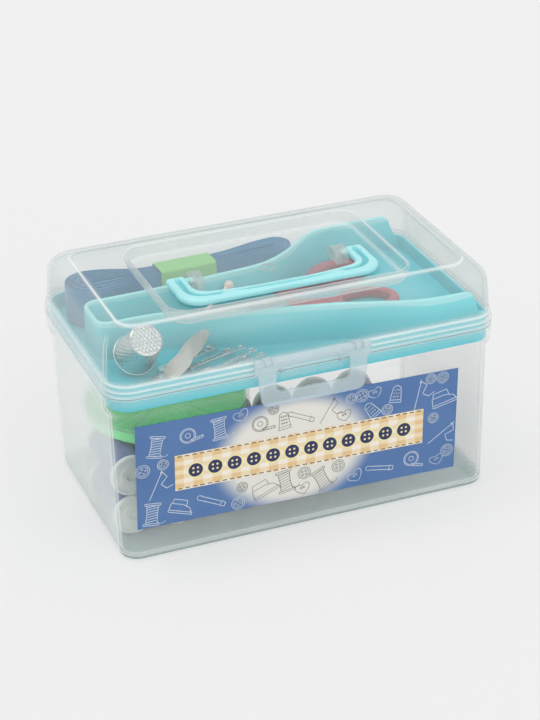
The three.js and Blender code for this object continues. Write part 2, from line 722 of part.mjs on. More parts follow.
// Latch: window plate with a barrel at its top, broken where the lid's knuckles sit
function latch() {
  const corner = latchCorner;
  const plate = new THREE.Shape();
  plate.moveTo(-latchHalfTop, latchAxisZ);
  plate.lineTo(-latchHalfTop, latchStepZ);
  plate.lineTo(-latchHalfStep, latchStepZ);
  plate.lineTo(-latchHalfBottom, latchBottomZ + corner);
  plate.absarc(-latchHalfBottom + corner, latchBottomZ + corner, corner, 180 * degree, 270 * degree, false);
  plate.absarc(latchHalfBottom - corner, latchBottomZ + corner, corner, 270 * degree, 360 * degree, false);
  plate.lineTo(latchHalfStep, latchStepZ);
  plate.lineTo(latchHalfTop, latchStepZ);
  plate.lineTo(latchHalfTop, latchAxisZ);
  plate.closePath();
  const opening = new THREE.Path();
  const halfHeight = (windowTopZ - windowBottomZ) / 2;
  roundedLoop(windowHalf, halfHeight, windowCorner, 0, 0, windowBottomZ + halfHeight, 3)
    .forEach((point, i) => (i ? opening.lineTo(point.x, point.y) : opening.moveTo(point.x, point.y)));
  opening.closePath();
  plate.holes.push(opening);
  const sheet = solid(new THREE.ExtrudeGeometry(plate, {
    depth: latchThickness, bevelEnabled: false, curveSegments: 5,
  }).rotateX(90 * degree).translate(0, latchY + latchThickness / 2, 0));
  let body = sheet.add(barAlongX(latchRadius, -latchHalfTop, 2 * latchHalfTop, latchY, latchAxisZ));
  const clear = latchRadius + seatGap;
  for (const side of [-1, 1]) {
    const startX = side * latchKnuckleX - latchKnuckleLength / 2 - seatGap;
    body = body.subtract(barAlongX(clear, startX, latchKnuckleLength + 2 * seatGap, latchY, latchAxisZ));
  }
  return body.add(barAlongX(latchPinRadius, -latchHalfTop, 2 * latchHalfTop, latchY, latchAxisZ, 10));
}

// Label: thin rectangle that lies on the drafted front wall, slightly tilted
function frontLabel() {
  const shoulderZ = baseHeight - shoulderDrop;
  const draft = Math.atan((footInset - shoulderInset) / (shoulderZ - footFillet));
  const wallY = -(caseDepth / 2 - footInset) - (labelCentreZ - footFillet) * Math.tan(draft);
  const sheet = new THREE.BoxGeometry(labelWidth, labelThickness, labelHeight)
    .rotateY(-labelTilt).rotateX(draft)
    .translate(labelCentreX, wallY - seatGap - labelThickness / 2, labelCentreZ);
  return solid(sheet);
}

// A body turned about an axis along Y, at the spools' place along it
function layAlongY(profile, x, z, sides) {
  const points = profile.map(([radius, height]) => new THREE.Vector2(radius, height));
  return solid(new THREE.LatheGeometry(points, sides).translate(x, spoolCentreY, z));
}

// Spool core: rod with two flanges, lying along Y
function spoolCore(x, z) {
  const end = spoolLength / 2;
  const shoulder = end - spoolFlange;
  return layAlongY([
    [0, -end], [spoolRadius, -end], [spoolRadius, -shoulder], [spoolCoreRadius, -shoulder],
    [spoolCoreRadius, shoulder], [spoolRadius, shoulder], [spoolRadius, end], [0, end]], x, z, 14);
}

// Thread wound on a spool, as a plain sleeve over the core
function spoolThread(x, z) {
  const end = spoolLength / 2 - spoolFlange - seatGap;
  const inside = spoolCoreRadius + seatGap;
  return layAlongY([
    [inside, -end], [threadRadius, -end], [threadRadius, end], [inside, end], [inside, -end]], x, z, 14);
}

// Needle case base: dish with radial walls and a hub bored for the rivet
function needleDish() {
  const r = needleDishRadius;
  const w = needleDishFloor;
  const h = needleDishHeight;
  let dish = turned([
    [needleCoverHole - seatGap, 0], [r, 0], [r, h], [r - w, h], [r - w, w], [needleHubRadius, w],
    [needleHubRadius, h - seatGap], [needleCoverHole - seatGap, h - seatGap], [needleCoverHole - seatGap, 0]],
    0, 0, 0, 40);
  for (let rib = 0; rib < needleRibs; rib++) {
    const length = r - w - needleHubRadius + w;
    const half = needleRibThickness / 2;
    const geometry = new THREE.BoxGeometry(length, 2 * half, h - 2 * w)
      .translate(needleHubRadius - w / 2 + length / 2, 0, w / 2 + (h - 2 * w) / 2)
      .rotateZ((rib / needleRibs) * 360 * degree);
    dish = dish.add(solid(geometry));
  }
  return dish.translate([needleCaseX, needleCaseY, needleCaseZ]);
}

// Needle case cover: clear disc with a skirt and one dispensing hole near its edge
function needleCover() {
  const r = needleCoverRadius;
  const inside = needleDishRadius + 2 * seatGap;
  const top = needleDishFloor;
  const cover = turned([
    [needleCoverHole, 0], [inside, 0], [inside, -needleCoverSkirt], [r, -needleCoverSkirt],
    [r, top - seatGap], [r - seatGap, top], [needleCoverHole, top], [needleCoverHole, 0]], 0, 0, 0, 40);
  const hole = solid(new THREE.CylinderGeometry(needleWindowRadius, needleWindowRadius, 2 * overrun, 12)
    .rotateX(90 * degree).translate(0, -(needleDishRadius - 2 * needleWindowRadius), 0)
    .rotateZ(180 * degree / needleRibs));
  return cover.subtract(hole).translate([needleCaseX, needleCaseY, needleCoverZ]);
}

// Rivet that holds the cover on the dish's hub
function needleRivet() {
  const shaft = needleCoverHole - 2 * seatGap;
  const headZ = needleCoverZ + needleDishFloor + seatGap;
  const rise = headZ - needleCaseZ;
  return turned([
    [0, seatGap], [shaft, seatGap], [shaft, rise], [needleRivetHead, rise],
    [needleRivetHead, rise + needleRivetHeadHeight / 2], [shaft, rise + needleRivetHeadHeight],
    [0, rise + needleRivetHeadHeight]], needleCaseX, needleCaseY, needleCaseZ, 20);
}

// A sewing needle lying in its compartment
function needle(order) {
  const turn = ((needleFirstBay + order * needleBayStep) / needleRibs) * 360 * degree;
  const start = 2 * needleHubRadius + 2 * needleRadius;
  return solid(new THREE.CylinderGeometry(needleRadius, needleRadius / 3, needleLength, 6)
    .rotateZ(90 * degree).translate(start + needleLength / 2, 0, 0).rotateZ(turn)
    .translate(needleCaseX, needleCaseY, needleCaseZ + needleDishFloor + seatGap + needleRadius));
}

// The hank's bent middle line, and how far its loops reach from it there
const hankSpine = new THREE.SplineCurve([hankStart, hankMiddle, hankEnd]);
const hankLength = hankSpine.getLength();
const hankBottomZ = trayTopZ + bandPaper + seatGap;
const hankWaist = hankLength * (hankMiddle.x - hankStart.x) / (hankEnd.x - hankStart.x);

function hankReach(distance) {
  const lobe = distance < hankWaist ? hankLeftHalf : hankRightHalf;
  const lobeCentre = distance < hankWaist ? hankLeftHalf : hankLength - hankRightHalf;
  const flat = bandLength * 0.6;
  const run = Math.abs(lobeCentre - hankWaist) - flat;
  const away = THREE.MathUtils.clamp((Math.abs(distance - hankWaist) - flat) / run, 0, 1);
  return hankWaistHalf + (lobe - hankWaistHalf) * (1 - Math.cos(away * Math.PI)) / 2;
}

// One point of the wound elastic: turn counts loops, each smaller than the last by the same share
function hankPoint(turn) {
  const share = 1 - turn / (hankLoops + 1);
  const phase = turn - Math.floor(turn);
  const quarter = Math.floor(phase * 4);
  const part = phase * 4 - quarter;
  const leftCentre = hankLeftHalf;
  const rightCentre = hankLength - hankRightHalf;
  let along;
  let across;
  if (quarter === 0 || quarter === 2) {
    const runPart = quarter === 0 ? part : 1 - part;
    along = leftCentre + (rightCentre - leftCentre) * runPart;
    across = (quarter === 0 ? -1 : 1) * share * hankReach(along);
  } else {
    const right = quarter === 1;
    const reach = share * (right ? hankRightHalf : hankLeftHalf);
    const swing = (part - 0.5) * Math.PI;
    along = (right ? rightCentre : leftCentre) + (right ? 1 : -1) * reach * Math.cos(swing);
    across = (right ? 1 : -1) * reach * Math.sin(swing);
  }
  const reached = THREE.MathUtils.clamp(along / hankLength, 0, 1);
  const tangent = hankSpine.getTangentAt(reached);
  return hankSpine.getPointAt(reached).add(new THREE.Vector2(-tangent.y, tangent.x).multiplyScalar(across));
}

// Elastic wound on edge in a spiral: one unbroken flat tube with a six-sided section
const hankSteps = 24;
function hankLine() {
  const line = [];
  for (let step = 0; step <= hankLoops * hankSteps; step++) {
    line.push(hankPoint(step / hankSteps));
  }
  return line;
}

function elasticHank() {
  const line = hankLine();
  const half = hankStrip / 2;
  const edge = hankStrip;
  const section = [
    [half, edge], [half, hankHeight - edge], [0, hankHeight],
    [-half, hankHeight - edge], [-half, edge], [0, 0]];
  const positions = [];
  line.forEach((point, i) => {
    const before = line[Math.max(i - 1, 0)];
    const after = line[Math.min(i + 1, line.length - 1)];
    const along = after.clone().sub(before).normalize();
    section.forEach(([out, up]) => {
      positions.push(point.x + along.y * out, point.y - along.x * out, hankBottomZ + up);
    });
  });
  const index = [];
  const sides = section.length;
  for (let i = 0; i < line.length - 1; i++) {
    for (let j = 0; j < sides; j++) {
      const a = i * sides + j;
      const b = i * sides + ((j + 1) % sides);
      index.push(a, b + sides, b, a, a + sides, b + sides);
    }
  }
  const last = (line.length - 1) * sides;
  for (let j = 1; j < sides - 1; j++) {
    index.push(0, j, j + 1);
    index.push(last, last + j + 1, last + j);
  }
  const geometry = new THREE.BufferGeometry();
  geometry.setAttribute("position", new THREE.Float32BufferAttribute(positions, 3));
  geometry.setIndex(index);
  return solid(geometry);
}

// The least gap between one loop of the elastic and the next, measured on its middle line
function leastHankGap() {
  const line = hankLine();
  let least = Infinity;
  for (let i = 0; i < line.length; i++) {
    for (let j = i + hankSteps / 2; j < line.length - 1; j++) {
      const run = line[j + 1].clone().sub(line[j]);
      const along = THREE.MathUtils.clamp(line[i].clone().sub(line[j]).dot(run) / run.lengthSq(), 0, 1);
      least = Math.min(least, line[i].distanceTo(line[j].clone().addScaledVector(run, along)));
    }
  }
  return least - hankStrip;
}
console.log("least gap between the elastic's loops, mm: " + leastHankGap().toFixed(2));

// Paper band round the hank's waist, a flat sleeve
function hankBand() {
  const half = hankWaistHalf + hankStrip / 2 + seatGap;
  const inner = new THREE.BoxGeometry(bandLength + overrun, 2 * half, hankHeight + 2 * seatGap);
  const outer = new THREE.BoxGeometry(bandLength, 2 * (half + bandPaper),
    hankHeight + 2 * seatGap + 2 * bandPaper);
  const centre = hankSpine.getPointAt(hankWaist / hankLength);
  const heading = hankSpine.getTangentAt(hankWaist / hankLength).angle();
  const place = (geometry) => solid(geometry.rotateZ(heading)
    .translate(centre.x, centre.y, hankBottomZ + hankHeight / 2));
  return place(outer).subtract(place(inner));
}

// Half of the scissors in its own place: pivot at the origin, blade towards -X, grip on one side
function bladeShape(side) {
  const w = bladeHalfWidth;
  const shape = new THREE.Shape();
  shape.moveTo(-bladeLength, side * w * 0.1);
  shape.lineTo(-bladeLength * 0.92, -side * w * 0.32);
  shape.lineTo(-bladeLength * 0.3, -side * w * 0.85);
  shape.quadraticCurveTo(0, -side * w * 1.15, w * 0.9, -side * w * 0.2);
  shape.lineTo(bladeTang, side * w * 0.75);
  shape.lineTo(bladeTang, side * w * 1.35);
  shape.lineTo(w, side * w * 0.95);
  shape.quadraticCurveTo(0, side * w * 0.95, -w * 1.6, side * w * 0.5);
  shape.closePath();
  const hole = new THREE.Path();
  hole.absarc(0, 0, rivetRadius + seatGap, 0, 360 * degree, false);
  shape.holes.push(hole);
  return shape;
}

function blade(side, turn, z) {
  return solid(new THREE.ExtrudeGeometry(bladeShape(side), {
    depth: bladeThickness, bevelEnabled: false, curveSegments: 6,
  }).rotateZ(turn).translate(scissorsX, scissorsY, z));
}

// Moulded grip: neck and finger loop, slotted for the blade's tang
function grip(side, turn, tangZ) {
  const neckX = bladeHalfWidth * 1.7;
  const loopX = gripLength;
  const outerA = gripLoopLength / 2;
  const outerB = gripLoopWidth / 2;
  const shape = new THREE.Shape();
  shape.absellipse(loopX, side * gripOffset, outerA, outerB, 0, 360 * degree, false, side * gripCant);
  const finger = new THREE.Path();
  finger.absellipse(loopX, side * gripOffset, outerA - gripBar, outerB - gripBar,
    0, 360 * degree, false, side * gripCant);
  shape.holes.push(finger);
  const neck = new THREE.Shape();
  neck.moveTo(neckX, side * bladeHalfWidth * 0.3);
  neck.lineTo(loopX - outerA + gripBar * 0.7, side * (gripOffset - gripBar * 1.2));
  neck.lineTo(loopX - outerA + gripBar * 0.7, side * (gripOffset + gripBar * 0.9));
  neck.lineTo(neckX, side * bladeHalfWidth * 1.75);
  neck.closePath();
  const bottom = trayTopZ;
  const place = (body) => body.rotate([0, 0, turn / degree]).translate([scissorsX, scissorsY, 0]);
  const body = place(raise(shape, bottom, gripThickness, 9).add(raise(neck, bottom, gripThickness)));
  const slot = solid(new THREE.ExtrudeGeometry(bladeShape(side), {
    depth: bladeThickness + 2 * seatGap, bevelEnabled: true, bevelThickness: seatGap / 4,
    bevelSize: seatGap, bevelSegments: 1, curveSegments: 4,
  }).translate(0, 0, tangZ - seatGap));
  const tangOnly = slot.intersect(block(neckX - overrun, loopX, -outerA, outerA,
    tangZ - overrun, tangZ + overrun));
  return body.subtract(place(tangOnly));
}

// Rivet through both blades, its head just clear of the upper one
function scissorsRivet(lowZ) {
  const height = highBladeZ + bladeThickness + seatGap - lowZ;
  return turned([
    [0, 0], [rivetRadius, 0], [rivetRadius, height], [rivetHeadRadius, height],
    [rivetHeadRadius, height + rivetHeadHeight / 2], [rivetRadius, height + rivetHeadHeight],
    [0, height + rivetHeadHeight]], scissorsX, scissorsY, lowZ, 12);
}

// Thimble: open cup with a flat dimpled end, leaning forwards on its rim
function thimble() {
  const w = thimbleWall;
  const cup = turned([
    [0, thimbleHeight - w], [thimbleTop - 2 * w, thimbleHeight - w], [thimbleBase - w, 0],
    [thimbleBase + w / 2, 0], [thimbleBase + w / 2, w], [thimbleBase, w],
    [thimbleTop, thimbleHeight - w], [thimbleTop - w, thimbleHeight], [0, thimbleHeight]], 0, 0, 0, 20);
  const lift = (thimbleBase + w / 2) * Math.sin(thimbleLean) + trayTopZ;
  return cup.rotate([thimbleLean / degree, 0, 0]).rotate([0, 0, thimbleHeading / degree])
    .translate([thimbleX, thimbleY, lift]);
}

// Places a body drawn along +X from the threader's low end on the pins, rising towards the divider
const pinTopZ = trayTopZ + pinCapHeight;
const threaderLowZ = pinTopZ + seatGap;
function placeThreader(geometry) {
  return solid(geometry.rotateY(-threaderRise).rotateZ(threaderHeading)
    .translate(threaderLowX, threaderLowY, threaderLowZ));
}

// Needle threader's stamped plate, waisted in the middle
function threaderPlate() {
  const half = threaderWidth / 2;
  const shape = new THREE.Shape();
  shape.moveTo(0, -half * 0.6);
  shape.quadraticCurveTo(threaderLength * 0.2, -half * 1.2, threaderLength * 0.45, -half * 0.75);
  shape.quadraticCurveTo(threaderLength * 0.7, -half * 1.1, threaderLength, -half * 0.35);
  shape.lineTo(threaderLength, half * 0.35);
  shape.quadraticCurveTo(threaderLength * 0.7, half * 1.1, threaderLength * 0.45, half * 0.75);
  shape.quadraticCurveTo(threaderLength * 0.2, half * 1.2, 0, half * 0.6);
  shape.closePath();
  return placeThreader(new THREE.ExtrudeGeometry(shape, {
    depth: threaderThickness, bevelEnabled: false, curveSegments: 4,
  }));
}

// A wire along a path, as a thin tube with few sides
function wireAlong(path, radius, steps, sides) {
  const section = new THREE.Shape();
  for (let side = 0; side < sides; side++) {
    const turn = (side / sides) * 360 * degree;
    const x = radius * Math.cos(turn);
    const y = radius * Math.sin(turn);
    if (side) section.lineTo(x, y);
    else section.moveTo(x, y);
  }
  section.closePath();
  return new THREE.ExtrudeGeometry(section, { steps, extrudePath: path, bevelEnabled: false });
}

// Needle threader's wire bow at the low end of the plate
function threaderBow() {
  const level = threaderThickness / 2;
  const foot = -seatGap - bowWire;
  const points = [
    [foot, -bowHalfWidth / 3], [-bowLength * 0.5, -bowHalfWidth], [-bowLength, 0],
    [-bowLength * 0.5, bowHalfWidth], [foot, bowHalfWidth / 3]];
  const path = new THREE.CatmullRomCurve3(points.map(([x, y]) => new THREE.Vector3(x, y, level)));
  return solid(wireAlong(path, bowWire, 20, 5).rotateZ(threaderHeading)
    .translate(threaderLowX, threaderLowY, threaderLowZ));
}

// Bodkin: straight stem from the tray's floor to a ball that leans on the back divider
function bodkin() {
  const top = new THREE.Vector3(bodkinTopX, bodkinTopY, trayFloorZ + bodkinTopRise);
  const end = new THREE.Vector3(bodkinEndX, bodkinEndY, trayTopZ + 2 * bodkinStem);
  const length = top.distanceTo(end);
  const points = [
    [0, 0], [bodkinStem / 2, 0], [bodkinStem, 3 * bodkinStem], [bodkinStem, length - bodkinBall]];
  const ballSteps = 6;
  for (let step = 1; step < ballSteps; step++) {
    const turn = ((step + 0.6) / (ballSteps + 0.6)) * Math.PI;
    points.push([bodkinBall * Math.sin(turn), length - bodkinBall * Math.cos(turn)]);
  }
  points.push([0, length + bodkinBall]);
  const profile = points.map(([radius, height]) => new THREE.Vector2(radius, height));
  const turnTo = new THREE.Quaternion().setFromUnitVectors(
    new THREE.Vector3(0, 1, 0), top.clone().sub(end).normalize());
  return solid(new THREE.LatheGeometry(profile, 10).applyQuaternion(turnTo).translate(end.x, end.y, end.z));
}

// Safety pin's bent wire in its own place: coil at the origin, both arms towards +X
function pinWirePath(length) {
  const points = [];
  const level = pinCapHeight / 2;
  const armEnd = length - seatGap;
  points.push(new THREE.Vector3(armEnd, -pinHalfSpread * 0.6, level - pinCoilClimb / 3));
  points.push(new THREE.Vector3(length / 2, -pinHalfSpread, level - pinCoilClimb / 2));
  const steps = 12;
  for (let step = 0; step <= steps; step++) {
    const turn = (-90 - (step / steps) * 540) * degree;
    const climb = (step / steps - 0.5) * pinCoilClimb;
    points.push(new THREE.Vector3(
      pinCoilRadius * Math.cos(turn), pinCoilRadius * Math.sin(turn), level + climb));
  }
  points.push(new THREE.Vector3(length / 2, pinHalfSpread, level + pinCoilClimb / 2));
  points.push(new THREE.Vector3(armEnd, pinHalfSpread * 0.6, level + pinCoilClimb / 3));
  return new THREE.CatmullRomCurve3(points, false, "centripetal");
}

// Where a pin's coil lies, with the length and heading from there to its cap
function pinPlace(order) {
  const coil = casePoint(pinCoilShares[order]);
  const run = casePoint(pinCapShares[order]).sub(coil);
  return { x: coil.x, y: coil.y, length: run.length(), heading: run.angle() };
}

function safetyPinWire(pin) {
  return solid(wireAlong(pinWirePath(pin.length), pinWire, 44, 5)
    .rotateZ(pin.heading).translate(pin.x, pin.y, trayTopZ));
}

// Safety pin's pressed cap, open towards the coil
function safetyPinCap(pin) {
  const half = pinCapWidth / 2;
  const shape = new THREE.Shape();
  shape.moveTo(0, -half * 0.8);
  shape.lineTo(pinCapLength - half, -half);
  shape.absarc(pinCapLength - half, 0, half, -90 * degree, 90 * degree, false);
  shape.lineTo(0, half * 0.8);
  shape.closePath();
  const shell = raise(shape, 0, pinCapHeight, 5);
  const margin = pinCapHeight / 8;
  const pocketHalf = half * 0.62;
  const pocket = block(-overrun, pinCapPocket + seatGap, -pocketHalf, pocketHalf,
    margin, pinCapHeight - margin);
  return shell.subtract(pocket)
    .translate([pin.length - pinCapPocket, 0, 0])
    .rotate([0, 0, pin.heading / degree])
    .translate([pin.x, pin.y, trayTopZ]);
}

// Case
addMesh("base_box", baseTub(), clearPlastic);
addMesh("front_label", frontLabel(), printedLabel);
addMesh("insert_tray", tray(), turquoisePlastic);
addMesh("lid_shell", lid(), clearPlastic);
addMesh("carry_handle", bail(), turquoisePlastic);
addMesh("front_latch", latch(), milkyPlastic);

// Tray contents
addMesh("elastic_hank", elasticHank(), blueElastic);
addMesh("hank_band", hankBand(), greenPaper);
addMesh("scissors_blade_lower", blade(1, lowerBladeTurn, lowBladeZ), brightSteel);
addMesh("scissors_grip_lower", grip(1, lowerBladeTurn, lowBladeZ), redPlastic);
addMesh("scissors_blade_upper", blade(-1, upperBladeTurn, highBladeZ), brightSteel);
addMesh("scissors_grip_upper", grip(-1, upperBladeTurn, highBladeZ), redPlastic);
addMesh("scissors_rivet", scissorsRivet(trayTopZ), brightSteel);
addMesh("thimble", thimble(), brightSteel);
addMesh("needle_threader_plate", threaderPlate(), brightSteel);
addMesh("needle_threader_bow", threaderBow(), brightSteel);
addMesh("ball_end_bodkin", bodkin(), palePlastic);
pinCoilShares.forEach((share, order) => {
  const pin = pinPlace(order);
  addMesh("safety_pin_wire_" + (order + 1), safetyPinWire(pin), brightSteel);
  addMesh("safety_pin_cap_" + (order + 1), safetyPinCap(pin), brightSteel);
});

// Tub contents
addMesh("needle_case_base", needleDish(), greenPlastic);
addMesh("needle_case_cover", needleCover(), clearPlastic);
addMesh("needle_case_rivet", needleRivet(), whitePlastic);
for (let order = 0; order < needleCount; order++) {
  addMesh("needle_" + (order + 1), needle(order), brightSteel);
}
for (let column = 0; column < spoolColumns; column++) {
  for (let layer = 0; layer < spoolLayers; layer++) {
    const x = spoolStartX + column * spoolPitch;
    const z = spoolFirstZ + layer * spoolLayerPitch;
    const label = "_" + (column + 1) + (layer ? "_upper" : "_lower");
    addMesh("spool" + label, spoolCore(x, z), whitePlastic);
    addMesh("thread" + label, spoolThread(x, z), threads[column]);
  }
}

export default sewingKit;
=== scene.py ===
import math
import random

import bmesh
import bpy
from mathutils import Matrix, Vector


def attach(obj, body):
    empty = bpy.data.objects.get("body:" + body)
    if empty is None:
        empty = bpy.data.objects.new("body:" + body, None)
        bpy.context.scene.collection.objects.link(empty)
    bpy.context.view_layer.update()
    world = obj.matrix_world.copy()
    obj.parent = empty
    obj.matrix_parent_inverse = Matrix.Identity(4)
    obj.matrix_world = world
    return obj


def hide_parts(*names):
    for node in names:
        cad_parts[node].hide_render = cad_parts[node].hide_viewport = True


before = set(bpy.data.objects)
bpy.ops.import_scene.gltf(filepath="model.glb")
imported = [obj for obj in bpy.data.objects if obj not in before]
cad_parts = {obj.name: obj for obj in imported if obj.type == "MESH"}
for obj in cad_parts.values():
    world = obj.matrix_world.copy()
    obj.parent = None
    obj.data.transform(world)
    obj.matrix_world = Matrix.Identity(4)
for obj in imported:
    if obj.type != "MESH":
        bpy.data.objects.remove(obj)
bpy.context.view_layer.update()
mm = 0.001

# Tub
# Injection-moulded polypropylene box, clear with a faint milk in it, walls 1.4 mm thick, drafted
# towards the foot. Its flared rim carries the tray and stands inside the lid's skirt.
case_length, case_depth, case_corner, corner_lead = 180.0, 106.0, 10.6, 1.2
tub_wall = 1.4
tub_rim = 82.2


def linear(code, dim=1.0):
    channels = [int(code[i:i + 2], 16) / 255 for i in (1, 3, 5)]
    return [dim * (c / 12.92 if c <= 0.04045 else ((c + 0.055) / 1.055) ** 2.4) for c in channels] + [1.0]


def plug(tree, source, socket):
    # A source is a socket, or a node that stands for its first output
    tree.links.new(getattr(source, "outputs", [source])[0], socket)


def add_node(tree, kind, settings=(), links=()):
    node = tree.nodes.new(kind)
    for key, value in dict(settings).items():
        if key == "stops":
            for i, (place, colour) in enumerate(value):
                stops = node.color_ramp.elements
                stop = stops[i] if i < len(stops) else stops.new(place)
                stop.position, stop.color = place, colour
        elif isinstance(key, str) and hasattr(node, key):
            setattr(node, key, value)
        else:
            node.inputs[key].default_value = value
    for key, source in dict(links).items():
        plug(tree, source, node.inputs[key])
    return node


def feed(tree, key, source):
    # Gives a finish's own shader its colour, gloss, relief or alpha
    plug(tree, source, tree.nodes["Principled BSDF"].inputs[key])


def fed(tree, key):
    return tree.nodes["Principled BSDF"].inputs[key].links[0].from_socket


def object_place(tree):
    return add_node(tree, "ShaderNodeTexCoord").outputs["Object"]


def start_finish(name, settings):
    finish = bpy.data.materials.new(name)
    finish.use_nodes = True
    tree = finish.node_tree
    for key, value in settings.items():
        tree.nodes["Principled BSDF"].inputs[key].default_value = value
    return finish, tree, object_place(tree)


def overlay(tree, share, colour, blend="MIX"):
    # Lays one more colour over a finish's own, as far as a node's output says
    mixed = add_node(tree, "ShaderNodeMix", {"data_type": "RGBA", "blend_type": blend, 7: linear(colour)},
                     {0: share, 6: fed(tree, "Base Color")})
    feed(tree, "Base Color", mixed.outputs[2])


def pass_light(tree, share, alpha=None):
    # Translucent plastic scatters the light that it stops onwards, so it shades less than it hides
    rays = add_node(tree, "ShaderNodeLightPath").outputs
    unseen = add_node(tree, "ShaderNodeMath", {"operation": "MAXIMUM"},
                      {0: rays["Is Shadow Ray"], 1: rays["Is Diffuse Ray"]})
    passed = add_node(tree, "ShaderNodeMath", {"operation": "MULTIPLY_ADD", 1: -share, 2: 1.0}, {0: unseen})
    shown = add_node(tree, "ShaderNodeMath", {"operation": "MULTIPLY", 0: 1.0},
                     {0: alpha, 1: passed} if alpha else {1: passed})
    feed(tree, "Alpha", shown)


def clear_moulding(name, tint, shade, veil, edge_veil, rim_veil, gloss):
    # Clear plastic shows little face on. It turns milky where it is seen edge on and at moulded
    # rims, where the rim value also pales its tone as a painted highlight; faint flow marks and scuffs catch
    # the light
    finish, tree, place = start_finish(name, {"IOR": 1.49})
    cloud = add_node(tree, "ShaderNodeTexNoise", {"Scale": 22.0, "Detail": 3.0}, {"Vector": place})
    scuff = add_node(tree, "ShaderNodeTexNoise", {"Scale": 700.0, "Detail": 2.0}, {"Vector": place})
    facing = add_node(tree, "ShaderNodeLayerWeight", {"Blend": 0.5}).outputs["Facing"]
    steep = add_node(tree, "ShaderNodeMath", {"operation": "POWER", 1: 4.0}, {0: facing})
    rim = add_node(tree, "ShaderNodeAttribute", {"attribute_name": "rim"}).outputs["Fac"]
    at_edge = add_node(tree, "ShaderNodeMath", {"operation": "MULTIPLY_ADD", 1: edge_veil, 2: veil},
                       {0: steep})
    at_rim = add_node(tree, "ShaderNodeMath", {"operation": "MULTIPLY_ADD", 1: rim_veil},
                      {0: rim, 2: at_edge})
    clouded = add_node(tree, "ShaderNodeMapRange",
                       {"From Min": 0.35, "From Max": 0.7, "To Min": 0.88, "To Max": 1.14}, {"Value": cloud})
    whole = add_node(tree, "ShaderNodeMath", {"operation": "MULTIPLY", "use_clamp": True},
                     {0: at_rim, 1: clouded})
    pass_light(tree, 0.8, whole)
    # Where the rim value is high the tone turns to the pale shade colour: a painted highlight along moulded
    # edges and corners
    tones = {"data_type": "RGBA", 6: linear(tint), 7: linear(shade)}
    feed(tree, "Base Color", add_node(tree, "ShaderNodeMix", tones, {0: rim}).outputs[2])
    rough = add_node(tree, "ShaderNodeMapRange", {"To Min": gloss, "To Max": gloss + 0.2}, {"Value": scuff})
    feed(tree, "Roughness", rough)
    return finish


def ring(half_x, half_y, radius, z, centre_y=0.0, steps=10, lead=0.0):
    # A round-cornered rectangle of points; a lead adds one just outside each end of each corner
    points = []
    for quarter, (side_x, side_y) in enumerate(((1, 1), (-1, 1), (-1, -1), (1, -1))):
        corner = []
        for step in range(steps + 1):
            turn = math.radians(90 * (quarter + step / steps))
            x = side_x * (half_x - radius) + radius * math.cos(turn)
            y = centre_y + side_y * (half_y - radius) + radius * math.sin(turn)
            corner.append((x, y, z))
        if lead:
            turn = math.radians(90 * quarter)
            (x0, y0, _), (x1, y1, _) = corner[0], corner[-1]
            before = (x0 + lead * math.sin(turn), y0 - lead * math.cos(turn), z)
            after = (x1 - lead * math.cos(turn), y1 - lead * math.sin(turn), z)
            corner = [before] + corner + [after]
        points += corner
    return points


def case_ring(offset, z):
    corner = max(case_corner + offset, 2.0)
    return ring(case_length / 2 + offset, case_depth / 2 + offset, corner, z, lead=corner_lead)


def paint_corner_highlights(piece, levels, strength):
    # Paints a highlight line on each corner where it leaves the short wall, by raising its rim value there
    values, corner = piece.data.attributes["rim"].data, len(case_ring(0, 0)) // 4
    for level in levels:
        for i in (1, 2 * corner - 2, 2 * corner + 1, 4 * corner - 2):
            point = values[level * 4 * corner + i]
            point.value = max(point.value, strength)


def place_piece(name, mesh):
    piece = bpy.data.objects.new(name, mesh)
    bpy.context.scene.collection.objects.link(piece)
    return piece


def skin(name, rings, rims=None, start=False, end=False, closed=False):
    # A sheet of quads through rings of points in millimetres; start and end close it with a face
    count, last = len(rings[0]), len(rings) - 1
    faces = []
    for level in range(last + closed):
        here, there = level * count, ((level + 1) % len(rings)) * count
        for i in range(count):
            j = (i + 1) % count
            faces.append((here + i, here + j, there + j, there + i))
    if start:
        faces.append(tuple(range(count - 1, -1, -1)))
    if end:
        faces.append(tuple(last * count + i for i in range(count)))
    mesh = bpy.data.meshes.new(name)
    mesh.from_pydata([Vector(point) * mm for loop in rings for point in loop], [], faces)
    if rims:
        tag(mesh, "rim", [value for value in rims for _ in range(count)])
    return place_piece(name, mesh)


def tag(mesh, label, values):
    mesh.attributes.new(label, "FLOAT", "POINT").data.foreach_set("value", values)


def harden(piece):
    graph = bpy.context.evaluated_depsgraph_get()
    mesh = bpy.data.meshes.new_from_object(
        piece.evaluated_get(graph), preserve_all_data_layers=True, depsgraph=graph)
    piece.modifiers.clear()
    piece.data = mesh


def weld(piece, flat=False):
    bm = bmesh.new()
    bm.from_mesh(piece.data)
    bmesh.ops.remove_doubles(bm, verts=bm.verts, dist=0.005 * mm)
    if flat:
        bmesh.ops.dissolve_limit(bm, angle_limit=math.radians(0.4), verts=[], edges=bm.edges)
    bmesh.ops.recalc_face_normals(bm, faces=bm.faces)
    bm.to_mesh(piece.data)
    bm.free()


def thicken(piece, thickness, even=True):
    wall = piece.modifiers.new("wall", "SOLIDIFY")
    wall.thickness, wall.offset, wall.use_even_offset = thickness * mm, -1, even
    harden(piece)


def join(name, pieces):
    bm = bmesh.new()
    for piece in pieces:
        bm.from_mesh(piece.data)
        bpy.data.objects.remove(piece)
    mesh = bpy.data.meshes.new(name)
    bm.to_mesh(mesh)
    bm.free()
    return place_piece(name, mesh)


def fit(piece, body, finish, slot, *nodes, crease=40):
    if not piece.data.materials:
        piece.data.materials.append(finish)
    for face in piece.data.polygons:
        face.use_smooth = True
    piece.data.set_sharp_from_angle(angle=math.radians(crease))
    even = piece.modifiers.new("even", "WEIGHTED_NORMAL")
    even.keep_sharp = True
    harden(piece)
    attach(piece, body)
    if nodes:
        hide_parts(*nodes)
